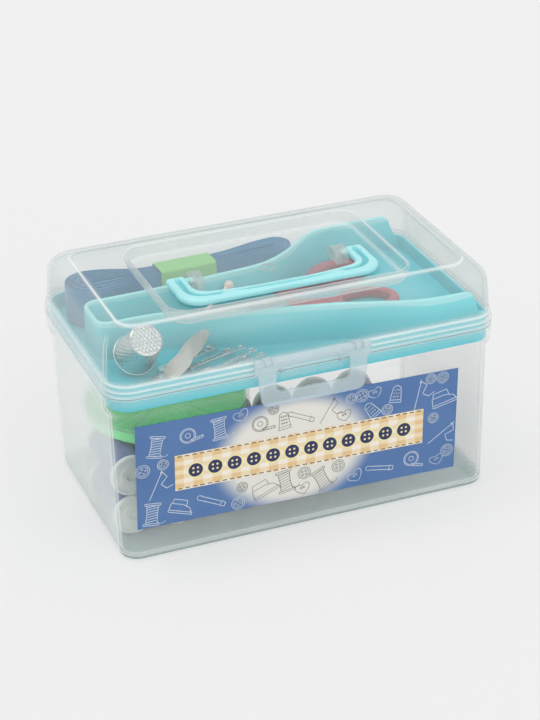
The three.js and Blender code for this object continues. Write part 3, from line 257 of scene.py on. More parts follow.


# Each level of the profile: how far outside the case's outline, how high, and its rim value, which makes it
# milkier and paints a highlight line on it
tub_profile = [(-8.4, 0.7, 0.1), (-7.6, 0.65, 0.2), (-7.0, 0.35, 0.3), (-6.4, 0.05, 0.3)]
foot_radius = 3.5
# The fillet's last level, where the wall starts, has a full rim value: a painted highlight line
for step in range(7):
    turn = math.radians(15 * step)
    tub_profile.append((-2 - foot_radius * (1 - math.sin(turn)), foot_radius * (1 - math.cos(turn)),
                        1.0 if step == 6 else 0.2))
tub_profile += [(-1.99, 4.6, 0.15), (-1.95, 7.0, 0.05), (-1.5, 36.0, 0.0), (-1.05, 67.0, 0.0),
                (-1.0, 70.0, 0.0)]
for step in range(1, 7):
    rise = (1 - math.cos(math.radians(30 * step))) / 2
    tub_profile.append((-1 + 2.2 * rise, 70 + step, 0.0))
tub_profile += [(1.2, 81.4, 0.3), (1.05, 82.0, 0.5), (0.7, tub_rim, 0.6)]
tub = skin("tub", [case_ring(offset, z) for offset, z, _ in tub_profile],
           rims=[rim for _, _, rim in tub_profile], start=True)
# Painted highlight lines down the tub's corners
paint_corner_highlights(tub, range(10, len(tub_profile) - 3), 0.7)
thicken(tub, tub_wall)
tub_plastic = clear_moulding("clear polypropylene tub, injection moulded",
                             "#EEF4F2", "#FAFDFC", 0.05, 1.2, 0.4, 0.12)
# The foot's fillet is given a painted shade of darker grey-green for the shadowed floor it reflects,
# under a painted highlight line where the wall starts, and a painted gap shadow darkens the narrow joint under
# the lid's edge
tree = tub_plastic.node_tree
height = add_node(tree, "ShaderNodeSeparateXYZ", {}, {0: object_place(tree)}).outputs["Z"]
# Painted shade: below about 3 mm the foot's fillet is tinted darker grey-green
low = add_node(tree, "ShaderNodeMapRange",
               {"From Min": 2.4 * mm, "From Max": 3.1 * mm, "To Min": 1.0, "To Max": 0.0}, {"Value": height})
# Painted gap shadow: a dark grey band from 81.6 to 82 mm, just under the lid's edge
painted_gap_shadow = add_node(tree, "ShaderNodeMapRange", {"From Min": 81.6 * mm, "From Max": 82 * mm}, {"Value": height})
overlay(tree, low, "#80A2A2")
overlay(tree, painted_gap_shadow, "#8A9798")
# The painted shade bands are also made more opaque so that they show
hidden = add_node(tree, "ShaderNodeMath", {"operation": "MAXIMUM"}, {0: low, 1: painted_gap_shadow})
dense = add_node(tree, "ShaderNodeMath", {"operation": "MULTIPLY_ADD", "use_clamp": True, 1: 0.3},
                 {0: hidden, 2: fed(tree, "Alpha")})
feed(tree, "Alpha", dense)
fit(tub, "base", tub_plastic, "clear_plastic", "base_box", crease=75)


# Hinge ears and catch frame on the tub
# Moulded in one with the tub: four ears behind the rim hold the lid's stub pins, and a thin
# U-shaped frame stands off the front for the latch's window to close round.
hinge_y, hinge_z, hinge_x, knuckle, barrel = 56.6, 84.6, 52.0, 14.0, 1.9
along_x = Matrix(((0, 0, 1, 0), (1, 0, 0, 0), (0, 1, 0, 0), (0, 0, 0, 1)))
facing_front = Matrix(((1, 0, 0, 0), (0, 0, -1, 0), (0, 1, 0, 0), (0, 0, 0, 1)))


def draw(curve, points):
    line = curve.splines.new("POLY")
    line.points.add(len(points) - 1)
    for knot, point in zip(line.points, points):
        knot.co = [c * mm for c in (*point, 0)[:3]] + [1]
    return line


def cast(name, curve, place):
    # What a curve's outline or tube fills, as a mesh at its place
    piece = place_piece(name, curve)
    mesh = bpy.data.meshes.new_from_object(piece.evaluated_get(bpy.context.evaluated_depsgraph_get()))
    bpy.data.objects.remove(piece)
    mesh.transform(place)
    return place_piece(name, mesh)


def plate(name, outlines, thickness, bevel, place):
    # A flat outline, with its holes, as a plate with rounded edges, centred on its thickness
    curve = bpy.data.curves.new(name, "CURVE")
    curve.dimensions, curve.fill_mode = "2D", "BOTH"
    curve.extrude = (thickness / 2 - bevel) * mm
    curve.bevel_depth, curve.bevel_resolution, curve.offset = bevel * mm, 2, -bevel * mm
    for outline in outlines:
        draw(curve, outline).use_cyclic_u = True
    piece = cast(name, curve, place)
    weld(piece, flat=True)
    return piece


def arc(x, y, radius, start, end, steps=8):
    turns = [math.radians(start + (end - start) * i / steps) for i in range(steps + 1)]
    return [(x + radius * math.cos(t), y + radius * math.sin(t)) for t in turns]


def shift(x, y, z):
    return Matrix.Translation((x * mm, y * mm, z * mm))


def turned(degrees, axis):
    return Matrix.Rotation(math.radians(degrees), 4, axis)


ear_outline = ([(53.5, 76.2), (hinge_y + barrel, hinge_z - barrel)] + arc(hinge_y, hinge_z, barrel, 0, 180)
               + [(hinge_y - barrel, 81.9), (53.5, 81.9)])
ear_hole = arc(hinge_y, hinge_z, 1.15, 0, 330, 11)
ears = []
for side in (-1, 1):
    for end in (-1, 1):
        centre = side * hinge_x + end * (knuckle / 2 + 1.8)
        ears.append(plate("ear", [ear_outline, ear_hole], 3.0, 0.4, shift(centre, 0, 0) @ along_x))
catch_outline = [(-14.8, 81.9), (-14.8, 79.0), (14.8, 79.0), (14.8, 81.9), (12.8, 81.9), (12.8, 81.0),
                 (-12.8, 81.0), (-12.8, 81.9)]
catch = plate("catch", [catch_outline], 1.6, 0.3, shift(0, -54.6, 0) @ facing_front)
hinge_and_catch = join("tub_ears_and_catch", ears + [catch])
fit(hinge_and_catch, "base", tub_plastic, "clear_plastic")


# Front label
# Offset-printed paper glued to the front wall, blue with a soft white oval. White line drawings
# of notions are scattered over the blue, and grey ones in pencil lines fill the oval.
label_z, label_tilt, label_half = 40.8, 1.3, 0.15
label_draft = math.atan(1.0 / 66.5)
label_y = -(case_depth / 2 - 2) - (label_z - foot_radius) * math.tan(label_draft) - 0.45
label_place = shift(-5, label_y, label_z) @ Matrix.Rotation(label_draft, 4, "X") @ turned(label_tilt, "Y")


def mottled(name, settings, low, high, scale, detail=2.0, dim=1.0, stretch=None, relief=None, rough=None):
    # A finish in two tones that drift into each other, with a like drift in its relief or its gloss
    finish, tree, place = start_finish(name, settings)
    if stretch:
        place = add_node(tree, "ShaderNodeMapping", {"Scale": stretch}, {"Vector": place})
    drift = add_node(tree, "ShaderNodeTexNoise", {"Scale": scale, "Detail": detail}, {"Vector": place})
    tones = {"data_type": "RGBA", 6: linear(low, dim), 7: linear(high)}
    feed(tree, "Base Color", add_node(tree, "ShaderNodeMix", tones, {0: drift}).outputs[2])
    if relief:
        raised = add_node(tree, "ShaderNodeBump", {"Strength": relief, "Distance": 0.3 * mm},
                          {"Height": drift})
        feed(tree, "Normal", raised)
    if rough:
        worn = add_node(tree, "ShaderNodeMapRange", {"To Min": rough[0], "To Max": rough[1]},
                        {"Value": drift})
        feed(tree, "Roughness", worn)
    return finish


paper_print = mottled("printed coated paper, blue", {"Roughness": 0.55}, "#466CA2", "#587DAF", 60.0)
tree = paper_print.node_tree
place = object_place(tree)
fibre = add_node(tree, "ShaderNodeTexNoise", {"Scale": 1800.0, "Detail": 3.0}, {"Vector": place})
centred = add_node(tree, "ShaderNodeMapping",
                   {"vector_type": "TEXTURE", "Location": (-0.008, 0, 0.04),
                    "Rotation": (0, math.radians(label_tilt), 0), "Scale": (0.041, 10, 0.031)},
                   {"Vector": place})
reach = add_node(tree, "ShaderNodeVectorMath", {"operation": "LENGTH"}, {0: centred})
oval = add_node(tree, "ShaderNodeMapRange", {"interpolation_type": "SMOOTHSTEP", "From Min": 0.68,
                                             "From Max": 0.98, "To Min": 1.0, "To Max": 0.0},
                {"Value": reach.outputs["Value"]})
overlay(tree, oval, "#E2E0D8")
tooth = add_node(tree, "ShaderNodeBump", {"Strength": 0.12, "Distance": 0.1 * mm}, {"Height": fibre})
feed(tree, "Normal", tooth)
label_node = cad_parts["front_label"]
label_node.data.materials.clear()
label_node.data.materials.append(paper_print)


def ink(name, strokes, width, lift):
    # Drawn lines as flat strips just over the label, from points across and up it in millimetres
    vertices, faces = [], []
    for stroke in strokes:
        for (x0, z0), (x1, z1) in zip(stroke, stroke[1:]):
            run = math.hypot(x1 - x0, z1 - z0)
            if run < 1e-6:
                continue
            ax, az = (x1 - x0) / run * width / 2, (z1 - z0) / run * width / 2
            first = len(vertices)
            corners = ((x0 - ax - az, z0 - az + ax), (x0 - ax + az, z0 - az - ax),
                       (x1 + ax + az, z1 + az - ax), (x1 + ax - az, z1 + az + ax))
            vertices += [label_place @ (Vector((x, -label_half - lift, z)) * mm) for x, z in corners]
            faces.append((first, first + 1, first + 2, first + 3))
    mesh = bpy.data.meshes.new(name)
    mesh.from_pydata(vertices, [], faces)
    return place_piece(name, mesh)


def spot(x, z, size, turn, strokes):
    # A motif's own strokes, drawn in a unit square, turned, sized and set at its place
    c, s = math.cos(turn) * size, math.sin(turn) * size
    return [[(x + px * c - pz * s, z + px * s + pz * c) for px, pz in stroke] for stroke in strokes]


round_button = [arc(0, 0, 0.5, 0, 360, 20), arc(0, 0, 0.36, 0, 360, 18)]
round_button += [arc(x, z, 0.07, 0, 360, 6) for x in (-0.13, 0.13) for z in (-0.13, 0.13)]
heart_button = [[(0.5 * math.sin(t) ** 3 * 1.1, 0.4 * math.cos(t) - 0.15 * math.cos(2 * t)
                  - 0.08 * math.cos(3 * t)) for t in [math.radians(i * 15) for i in range(25)]],
                arc(-0.1, 0.05, 0.06, 0, 360, 6), arc(0.1, 0.05, 0.06, 0, 360, 6)]
reel = [[(-0.4, 0.6), (0.4, 0.6), (0.4, 0.5), (-0.4, 0.5), (-0.4, 0.6)],
        [(-0.4, -0.6), (0.4, -0.6), (0.4, -0.5), (-0.4, -0.5), (-0.4, -0.6)],
        [(-0.3, 0.5), (-0.26, 0), (-0.3, -0.5)], [(0.3, 0.5), (0.26, 0), (0.3, -0.5)],
        arc(0.5, -0.3, 0.22, 180, 330, 6)]
reel += [[(-0.28, z), (0.28, z + 0.1)] for z in (-0.42, -0.28, -0.14, 0.0, 0.14, 0.28, 0.4)]
needle_and_thread = [[(-0.7, -0.7), (0.6, 0.6)], [(0.52, 0.6), (0.7, 0.74), (0.6, 0.52), (0.52, 0.6)],
                     [(0.66, 0.66), (0.8, 0.2), (0.3, -0.1), (0.5, -0.5), (0.9, -0.5)]]
measuring_tape = [arc(0, 0, 0.5, 0, 360, 18), arc(0, 0, 0.42, 0, 360, 16), arc(0, 0, 0.16, 0, 360, 10),
                  [(0, -0.5), (0.9, -0.5), (0.9, -0.34), (0.1, -0.34)]]
measuring_tape += [[(x, -0.5), (x, -0.42)] for x in (0.2, 0.35, 0.5, 0.65, 0.8)]
flat_iron = [[(-0.6, -0.3), (0.7, -0.3), (0.5, 0.05), (0.1, 0.2), (-0.55, 0.2), (-0.6, -0.3)],
             [(-0.5, 0.2), (-0.45, 0.45), (0.25, 0.45), (0.3, 0.15)], [(-0.6, -0.18), (0.68, -0.18)]]
thimble_mark = [[(-0.35, -0.5), (-0.22, 0.4), (0, 0.52), (0.22, 0.4), (0.35, -0.5), (-0.35, -0.5)],
                [(-0.33, -0.35), (0.33, -0.35)]]
thimble_mark += [arc(x, z, 0.035, 0, 360, 5) for z in (-0.15, 0.05, 0.25) for x in (-0.13, 0, 0.13)]
bent_pin = [[(-0.7, 0.1), (0.5, 0.12)], [(-0.7, -0.12), (0.5, -0.1)], arc(-0.72, -0.01, 0.14, 60, 300, 8),
            [(0.5, 0.16), (0.72, 0.1), (0.72, -0.1), (0.5, -0.14), (0.5, 0.16)]]
large = [(reel, 9.0), (needle_and_thread, 7.4), (flat_iron, 9.6), (bent_pin, 9.0), (thimble_mark, 8.2),
         (measuring_tape, 7.6)]
small = [(round_button, 6.0), (heart_button, 6.4), (round_button, 5.2)]
chance = random.Random(23)


def scatter(tries, allowed, spacing, kept, motifs):
    # Motifs thrown at the label one by one, kept where they are clear of the ones before
    strokes = []
    for _ in range(tries):
        x, z = chance.uniform(-73, 73), chance.uniform(-23, 23)
        motif, size = motifs[len(kept) % len(motifs)]
        reach = size * max(math.hypot(px, pz) for stroke in motif for px, pz in stroke)
        clear = all(math.hypot(x - a, z - b) > (reach + c) * spacing for a, b, c in kept)
        if clear and allowed(x, z, reach * 0.85):
            kept.append((x, z, reach))
            strokes += spot(x, z, size * chance.uniform(0.92, 1.06), chance.uniform(-0.7, 0.7), motif)
    return strokes


def on_blue(x, z, reach):
    by_ribbon = abs(z + 0.7) < 8.9 + reach and -59.5 - reach < x < 60.5 + reach
    in_oval = ((x + 3) / (35 + reach)) ** 2 + ((z + 0.9) / (26.5 + reach)) ** 2 < 1
    return abs(z) < 25.3 - reach and abs(x) < 75.8 - reach and not by_ribbon and not in_oval


def in_oval(x, z, reach):
    inside = ((x + 3) / (33 - reach)) ** 2 + ((z + 0.9) / (25.5 - reach * 0.5)) ** 2 < 1
    return inside and abs(z) < 25.2 - reach and abs(z + 0.7) > 8.9 + reach * 0.8


kept = []
white_strokes = scatter(4000, on_blue, 0.86, kept, large) + scatter(4000, on_blue, 0.92, kept, small)
ink_white = mottled("white printing ink", {"Roughness": 0.6}, "#A9BCD6", "#DCE4EE", 700.0)
fit(ink("label_line_drawings", white_strokes, 0.36, 0.05), "base", ink_white, "printed_label")

kept = []
grey_strokes = scatter(3000, in_oval, 0.66, kept, large) + scatter(3000, in_oval, 0.8, kept, small)
ink_grey = mottled("grey printing ink, pencil lines", {"Roughness": 0.6}, "#43483F", "#8F938A", 900.0)
fit(ink("label_pencil_drawings", grey_strokes, 0.24, 0.05), "base", ink_grey, "printed_label")

# Gingham ribbon on the label
# The print shows a strip of cotton gingham, 118 by 17.6 mm, sewn along both edges with brown
# running stitch. It is left bare of words, and a row of plain navy buttons runs along it.
ribbon_middle, ribbon_length, ribbon_low, ribbon_high = 0.5, 118.0, -9.5, 8.1
ribbon_left, ribbon_right = ribbon_middle - ribbon_length / 2, ribbon_middle + ribbon_length / 2
gingham, tree, place = start_finish("printed cotton gingham", {"Roughness": 0.75})
level = add_node(tree, "ShaderNodeMapping",
                 {"vector_type": "TEXTURE", "Location": (-0.0045, 0, 0.0402),
                  "Rotation": (0, math.radians(label_tilt), 0)}, {"Vector": place})
split = add_node(tree, "ShaderNodeSeparateXYZ", {}, {0: level})
bands = []
for axis, pitch in (("X", 0.0088), ("Z", 0.0044)):
    wave = add_node(tree, "ShaderNodeMath", {"operation": "PINGPONG", 1: pitch / 2}, {0: split.outputs[axis]})
    band = add_node(tree, "ShaderNodeMapRange", {"From Min": pitch * 0.22, "From Max": pitch * 0.28},
                    {"Value": wave})
    bands.append(band)
crossed = add_node(tree, "ShaderNodeMath", {"operation": "ADD"}, {0: bands[0], 1: bands[1]})
half_way = add_node(tree, "ShaderNodeMath", {"operation": "MULTIPLY", 1: 0.5}, {0: crossed})
check = add_node(tree, "ShaderNodeValToRGB",
                 {"stops": [(0.0, linear("#F1EADC")), (0.5, linear("#ECD9B6")), (1.0, linear("#E3C38F"))]},
                 {0: half_way})
feed(tree, "Base Color", check)
# Cotton threads of about 0.3 mm, drawn at 0.6 mm so that they show
weave = add_node(tree, "ShaderNodeTexChecker", {"Scale": 1700.0}, {"Vector": place})
raised = add_node(tree, "ShaderNodeBump", {"Strength": 0.25, "Distance": 0.1 * mm},
                  {"Height": weave.outputs["Fac"]})
feed(tree, "Normal", raised)
ribbon_outline = [(ribbon_left, ribbon_low), (ribbon_right, ribbon_low), (ribbon_right, ribbon_high),
                  (ribbon_left, ribbon_high)]
ribbon = skin("label_gingham", [[(x, -label_half - lift, z) for x, z in ribbon_outline]
                                for lift in (0.06, 0.12)], start=True, end=True)
ribbon.data.transform(label_place)
fit(ribbon, "base", gingham, "printed_label")


def start_tree(name, sizes):
    tree = bpy.data.node_groups.new(name, "GeometryNodeTree")
    tree.interface.new_socket("Geometry", in_out="OUTPUT", socket_type="NodeSocketGeometry")
    for label, value in sizes.items():
        kind = "NodeSocketInt" if isinstance(value, int) else "NodeSocketFloat"
        tree.interface.new_socket(label, in_out="INPUT", socket_type=kind)
    return tree, add_node(tree, "NodeGroupInput").outputs


def grow(name, tree, geometry, finish, sizes, place=Matrix()):
    real = add_node(tree, "GeometryNodeRealizeInstances", {}, {"Geometry": geometry})
    coated = add_node(tree, "GeometryNodeSetMaterial", {"Material": finish}, {"Geometry": real})
    add_node(tree, "NodeGroupOutput", {}, {0: coated})
    piece = place_piece(name, bpy.data.meshes.new(name))
    nodes = piece.modifiers.new(name, "NODES")
    nodes.node_group = tree
    for item in tree.interface.items_tree:
        if item.in_out == "INPUT":
            nodes[item.identifier] = sizes[item.name]
    harden(piece)
    piece.data.transform(place)
    return piece


def copy_to(piece, place):
    mesh = piece.data.copy()
    mesh.transform(place)
    return place_piece(piece.name, mesh)


stitch_thread = mottled("brown cotton running stitch", {"Roughness": 0.8}, "#5B4638", "#8A705C", 1500.0)
stitch_sizes = {"Stitches": 34, "Pitch": 3.44 * mm, "Length": 2.1 * mm, "Width": 0.42 * mm,
                "Height": 0.16 * mm}
tree, size = start_tree("running stitch", stitch_sizes)
step_along = add_node(tree, "ShaderNodeCombineXYZ", {}, {"X": size["Pitch"]})
row = add_node(tree, "GeometryNodeMeshLine", {}, {"Count": size["Stitches"], "Offset": step_along})
dash_size = add_node(tree, "ShaderNodeCombineXYZ", {},
                     {"X": size["Length"], "Y": size["Height"], "Z": size["Width"]})
dash = add_node(tree, "GeometryNodeMeshCube", {}, {"Size": dash_size})
sewn = add_node(tree, "GeometryNodeInstanceOnPoints", {}, {"Points": row, "Instance": dash})
stitches = grow("stitch_row", tree, sewn, stitch_thread, stitch_sizes)
rows = [copy_to(stitches, label_place @ shift(ribbon_left + 2.2, -0.32, level)) for level in (-8.7, 7.3)]
bpy.data.objects.remove(stitches)
fit(join("label_running_stitch", rows), "base", stitch_thread, "printed_label")

halo = mottled("pale yellow printing ink", {"Roughness": 0.6}, "#EADF9E", "#F1E9B8", 500.0)
navy = mottled("navy printing ink", {"Roughness": 0.6}, "#23264E", "#333765", 500.0)
on_label = label_place @ shift(0, -label_half, 0) @ facing_front
halos, buttons = [], []
for order in range(12):
    x, z = ribbon_middle - 49.5 + order * 9.0, -0.7
    holes = [arc(x + dx, z + dz, 0.55, 0, 324, 9) for dx in (-1.05, 1.05) for dz in (-1.05, 1.05)]
    halos.append(plate("halo", [arc(x, z, 4.1, 0, 350, 35)], 0.04, 0.01, on_label @ shift(0, 0, 0.15)))
    buttons.append(plate("button", [arc(x, z, 3.3, 0, 350, 35)] + holes, 0.04, 0.01,
                         on_label @ shift(0, 0, 0.2)))
fit(join("label_button_halos", halos), "base", halo, "printed_label")
fit(join("label_buttons", buttons), "base", navy, "printed_label")


# Thread spools
# White polystyrene spools lie along the depth of the tub, two high in seven columns. Each has
# two flanges, and carries sewing thread wound round and round it.
spool_radius, spool_length, spool_y = 9.8, 38.5, -11.7
spool_columns = [-76.6 + 20.2 * column for column in range(7)]
spool_levels = [11.9, 31.8]
along_y = Matrix(((1, 0, 0, 0), (0, 0, -1, 0), (0, 1, 0, 0), (0, 0, 0, 1)))


def full_turn(steps):
    return [2 * math.pi * i / steps for i in range(steps)]


def lathe(name, profile, sides, place, closed=False):
    rings = [[(r * math.cos(t), r * math.sin(t), h) for t in full_turn(sides)] for r, h in profile]
    piece = skin(name, rings, closed=closed)
    piece.data.transform(place)
    weld(piece)
    return piece


spool_plastic = mottled("white polystyrene, moulded", {"Roughness": 0.35, "IOR": 1.59}, "#CFDDD6", "#EEF2EC",
                        140.0, 3.0, relief=0.2)
end = spool_length / 2
half_spool = [(spool_radius - 0.5, end), (spool_radius, end - 0.5), (spool_radius, end - 1.7),
              (spool_radius - 0.5, end - 2.2), (4.6, end - 2.2), (4.0, end - 2.8)]
spool_end = [(0, end - 1.2), (2.4, end - 1.2), (2.7, end - 0.1), (3.4, end), (5.0, end), (5.3, end - 0.4),
             (7.9, end - 0.4), (8.3, end)]
half_spool = spool_end + half_spool
spool_profile = [(r, -h) for r, h in half_spool] + half_spool[::-1]
cores = []
for x in spool_columns:
    for z in spool_levels:
        cores.append(lathe("core", spool_profile, 36, shift(x, spool_y, z) @ along_y))
fit(join("thread_spools", cores), "base", spool_plastic, "white_plastic",
    *["spool_%d_%s" % (column, level) for column in range(1, 8) for level in ("lower", "upper")])

thread_colours = {"blue": "#6E83B4", "lilac": "#9391B4", "rose": "#B6A2A8", "mauve": "#8F8596",
                  "slate": "#7C8592", "cream": "#C7C0B8", "grey": "#A19EB0"}
winding_sizes = {"Turns": 27.0, "Radius": 7.9 * mm, "Length": 32.6 * mm, "Strand": 0.72 * mm}
for order, (shade, colour) in enumerate(thread_colours.items()):
    # Twisted polyester thread: soft sheen along each strand, drawn at 1.2 mm so that it shows
    thread = mottled("wound polyester thread " + shade, {"Roughness": 0.7, "Sheen Weight": 0.3},
                     colour, colour, 800.0, 4.0, dim=0.7)
    tree, size = start_tree("thread winding", winding_sizes)
    coil = add_node(tree, "GeometryNodeCurveSpiral", {"Resolution": 24},
                    {"Rotations": size["Turns"], "Start Radius": size["Radius"], "End Radius": size["Radius"],
                     "Height": size["Length"]})
    strand = add_node(tree, "GeometryNodeCurvePrimitiveCircle", {"Resolution": 6}, {"Radius": size["Strand"]})
    tube = add_node(tree, "GeometryNodeCurveToMesh", {"Fill Caps": True},
                    {"Curve": coil, "Profile Curve": strand})
    wound = grow("winding", tree, tube, thread, winding_sizes)
    windings = []
    for z in spool_levels:
        windings.append(copy_to(wound, shift(spool_columns[order], spool_y + 16.3, z) @ along_y))
        windings.append(lathe("under_winding", [(4.3, -16.6), (7.9, -16.6), (7.9, 16.6), (4.3, 16.6)], 36,
                              shift(spool_columns[order], spool_y, z) @ along_y, closed=True))
    bpy.data.objects.remove(wound)
    fit(join("wound_thread_%d" % (order + 1), windings), "base", thread, "thread_" + shade,
        *["thread_%d_%s" % (order + 1, level) for level in ("lower", "upper")])


# Needle case
# A round green polystyrene dish, given a faint painted glow to brighten it, with 24 radial
# walls between which needles lie. A clear cover with one hole turns on a rivet in the middle, to
# let needles out of one bay at a time.
case_x, case_y, dish_z, cover_z = -47.9, 5.5, 41.9, 48.5
dish_radius, cover_radius = 36.6, 38.4

# The emission is a painted glow that lifts the dish's brightness; the plastic itself gives no light
green = mottled("green polystyrene, moulded",
                {"Roughness": 0.3, "IOR": 1.59, "Coat Weight": 0.2,
                 "Emission Color": linear("#3CE07C"), "Emission Strength": 0.17},
                "#2FDC6C", "#66F28C", 90.0, 3.0, relief=0.1)
pass_light(green.node_tree, 0.6)
dish_profile = [(0, 0), (dish_radius - 1, 0), (dish_radius, 1), (dish_radius, 5.9), (dish_radius - 0.4, 6.3),
                (dish_radius - 0.9, 6.3), (dish_radius - 1.2, 5.9), (dish_radius - 1.2, 1.6),
                (dish_radius - 1.6, 1.2), (4.4, 1.2), (4.0, 1.6), (4.0, 6.0), (2.3, 6.0), (2.3, 1.5), (0, 1.5)]
dish = lathe("dish", dish_profile, 120, shift(case_x, case_y, dish_z))
rib_sizes = {"Ribs": 24, "Start": 3.6 * mm, "Length": 32.0 * mm, "Thickness": 0.8 * mm, "Height": 3.9 * mm}
tree, size = start_tree("radial ribs", rib_sizes)
hub = add_node(tree, "GeometryNodeMeshLine", {"Offset": (0, 0, 0)}, {"Count": size["Ribs"]})
rib_box = add_node(tree, "ShaderNodeCombineXYZ", {},
                   {"X": size["Length"], "Y": size["Thickness"], "Z": size["Height"]})
rib = add_node(tree, "GeometryNodeMeshCube", {}, {"Size": rib_box})
half_rib = add_node(tree, "ShaderNodeMath", {"operation": "MULTIPLY_ADD", 1: 0.5},
                    {0: size["Length"], 2: size["Start"]})
half_up = add_node(tree, "ShaderNodeMath", {"operation": "MULTIPLY", 1: 0.5}, {0: size["Height"]})
out_by = add_node(tree, "ShaderNodeCombineXYZ", {}, {"X": half_rib, "Z": half_up})
set_out = add_node(tree, "GeometryNodeTransform", {}, {"Geometry": rib, "Translation": out_by})
order = add_node(tree, "GeometryNodeInputIndex")
share = add_node(tree, "ShaderNodeMath", {"operation": "DIVIDE"}, {0: order, 1: size["Ribs"]})
angle = add_node(tree, "ShaderNodeMath", {"operation": "MULTIPLY", 1: 2 * math.pi}, {0: share})
turn = add_node(tree, "ShaderNodeCombineXYZ", {}, {"Z": angle})
fan = add_node(tree, "GeometryNodeInstanceOnPoints", {},
               {"Points": hub, "Instance": set_out, "Rotation": turn})
ribs = grow("ribs", tree, fan, green, rib_sizes, shift(case_x, case_y, dish_z + 0.6))
fit(join("needle_dish", [dish, ribs]), "base", green, "green_plastic", "needle_case_base")

cover_plastic = clear_moulding("clear polystyrene cover", "#E2F2EA", "#F0FAF4", 0.09, 0.15, 0.25, 0.1)
cover_plastic.node_tree.nodes["Principled BSDF"].inputs["Specular IOR Level"].default_value = 0.2
hole_x, hole_y = 30.2 * math.sin(math.radians(7.5)), -30.2 * math.cos(math.radians(7.5))
cover_outlines = [arc(0, 0, cover_radius, 0, 357, 119), arc(0, 0, 2.7, 0, 345, 23),
                  arc(hole_x, hole_y, 3.2, 0, 345, 23)]
cover_top = plate("cover_top", cover_outlines, 1.2, 0.3, shift(case_x, case_y, cover_z + 0.6))
skirt_profile = [(cover_radius - 1.2, -5.0), (cover_radius - 0.3, -5.0), (cover_radius, -4.6),
                 (cover_radius, 0.1), (cover_radius - 1.2, 0.1)]
cover_skirt = lathe("cover_skirt", skirt_profile, 120, shift(case_x, case_y, cover_z), closed=True)
cover = join("needle_cover", [cover_top, cover_skirt])
cover.visible_shadow = False
fit(cover, "needle_cover", cover_plastic, "clear_plastic", "needle_case_cover")
rivet_profile = [(0, 0.3), (2.0, 0.3), (2.0, 8.1), (4.4, 8.1), (4.6, 8.4), (4.0, 8.8), (2.6, 9.0), (0, 9.0)]
rivet = lathe("needle_case_hub", rivet_profile, 32, shift(case_x, case_y, dish_z))
fit(rivet, "base", spool_plastic, "white_plastic", "needle_case_rivet")


def lean(start, along):
    # Stands what is modelled upright at a start, and leans it along a direction
    return shift(*start) @ Vector((0, 0, 1)).rotation_difference(along).to_matrix().to_4x4()


steel = mottled("nickel-plated steel, drawn", {"Metallic": 1.0}, "#C6CACB", "#ECEEEE", 1200.0, 3.0,
                rough=(0.18, 0.38))
needle_profile = [(0, 0), (0.3, 0.3), (0.45, 2.0), (0.45, 15), (0.3, 21), (0, 26)]
for order in range(4):
    turn = math.radians((14.5 + 5 * order) / rib_sizes["Ribs"] * 360)
    along = Vector((math.cos(turn), math.sin(turn), 0))
    start = Vector((case_x, case_y, dish_z + 1.95)) + along * 8.9
    needle = lathe("sewing_needle_%d" % (order + 1), needle_profile, 10, lean(start, along))
    fit(needle, "base", steel, "steel", "needle_%d" % (order + 1))


# Lift-out tray
# Turquoise polypropylene, injection moulded, slightly see-through at its thin top edges. Two
# S-curved dividers stand on its floor and drop to the rim in a round corner at the right.
tray_bottom, tray_rim, tray_floor, divider_top = 75.5, 86.9, 79.8, 97.8
back_shares = [(-0.84, 0.28), (-0.56, 0.292), (-0.17, 0.349), (0.078, 0.406), (0.233, 0.547),
               (0.344, 0.708), (0.467, 0.858), (0.667, 0.897), (0.967, 0.897)]
front_shares = [(-0.84, -0.17), (-0.56, -0.189), (-0.244, -0.396), (0.078, -0.528), (0.256, -0.604),
                (0.4, -0.698), (0.644, -0.83), (0.911, -0.85), (0.967, -0.85)]


def spline(points, count):
    # A smooth curve through points, each stretch steered by the points on either side of it
    line = []
    for i in range(count + 1):
        at = (len(points) - 1) * i / count
        k = min(int(at), len(points) - 2)
        t = at - k
        p0, p1, p2, p3 = (Vector(points[min(max(j, 0), len(points) - 1)]) for j in (k - 1, k, k + 1, k + 2))
        v0, v1 = (p2 - p0) / 2, (p3 - p1) / 2
        line.append((2 * p1 - 2 * p2 + v0 + v1) * t ** 3 + (3 * p2 - 3 * p1 - 2 * v0 - v1) * t ** 2
                    + v0 * t + p1)
    return line


def case_points(shares):
    return [(x * case_length / 2, y * case_depth / 2) for x, y in shares]


back_line = spline(case_points(back_shares), 90)[::-1]
front_line = spline(case_points(front_shares), 90)
left_x = -0.9 * case_length / 2
bend = back_line[-1].x - left_x
back_bend = [Vector(p) for p in arc(left_x + bend, back_line[-1].y - bend, bend, 90, 180, 8)]
front_bend = [Vector(p) for p in arc(left_x + bend, front_line[0].y + bend, bend, 180, 270, 8)]
divider_line = back_line[:-1] + back_bend + front_bend + front_line[1:]
wall_x = case_length / 2 - 1.1 - 1.3
corner_x = wall_x - 10.0
rings = []
for i, point in enumerate(divider_line):
    before, after = divider_line[max(i - 1, 0)], divider_line[min(i + 1, len(divider_line) - 1)]
    along = (after - before).normalized()
    out = Vector((-along.y, along.x))
    top = divider_top
    if point.x > corner_x:
        top = divider_top - 5 + math.sqrt(max(25 - (point.x - corner_x) ** 2, 0))
    if point.x > wall_x - 5.2:
        top = max(tray_rim, divider_top - 5 - 2.4 * (point.x - wall_x + 5.2))
    section = [(-2.2, tray_floor - 0.6), (-2.2, tray_floor + 0.05), (-1.6, tray_floor + 0.4),
               (-1.25, tray_floor + 1.4), (-1.0, top - 1.0)]
    section += [(-math.cos(math.radians(a)), top - 1 + math.sin(math.radians(a))) for a in (30, 60, 90)]
    section += [(-x, z) for x, z in section[:-1][::-1]]
    rings.append([(point.x - out.x * x, point.y - out.y * x, z) for x, z in section])
divider = skin("divider", rings, start=True, end=True)
weld(divider)
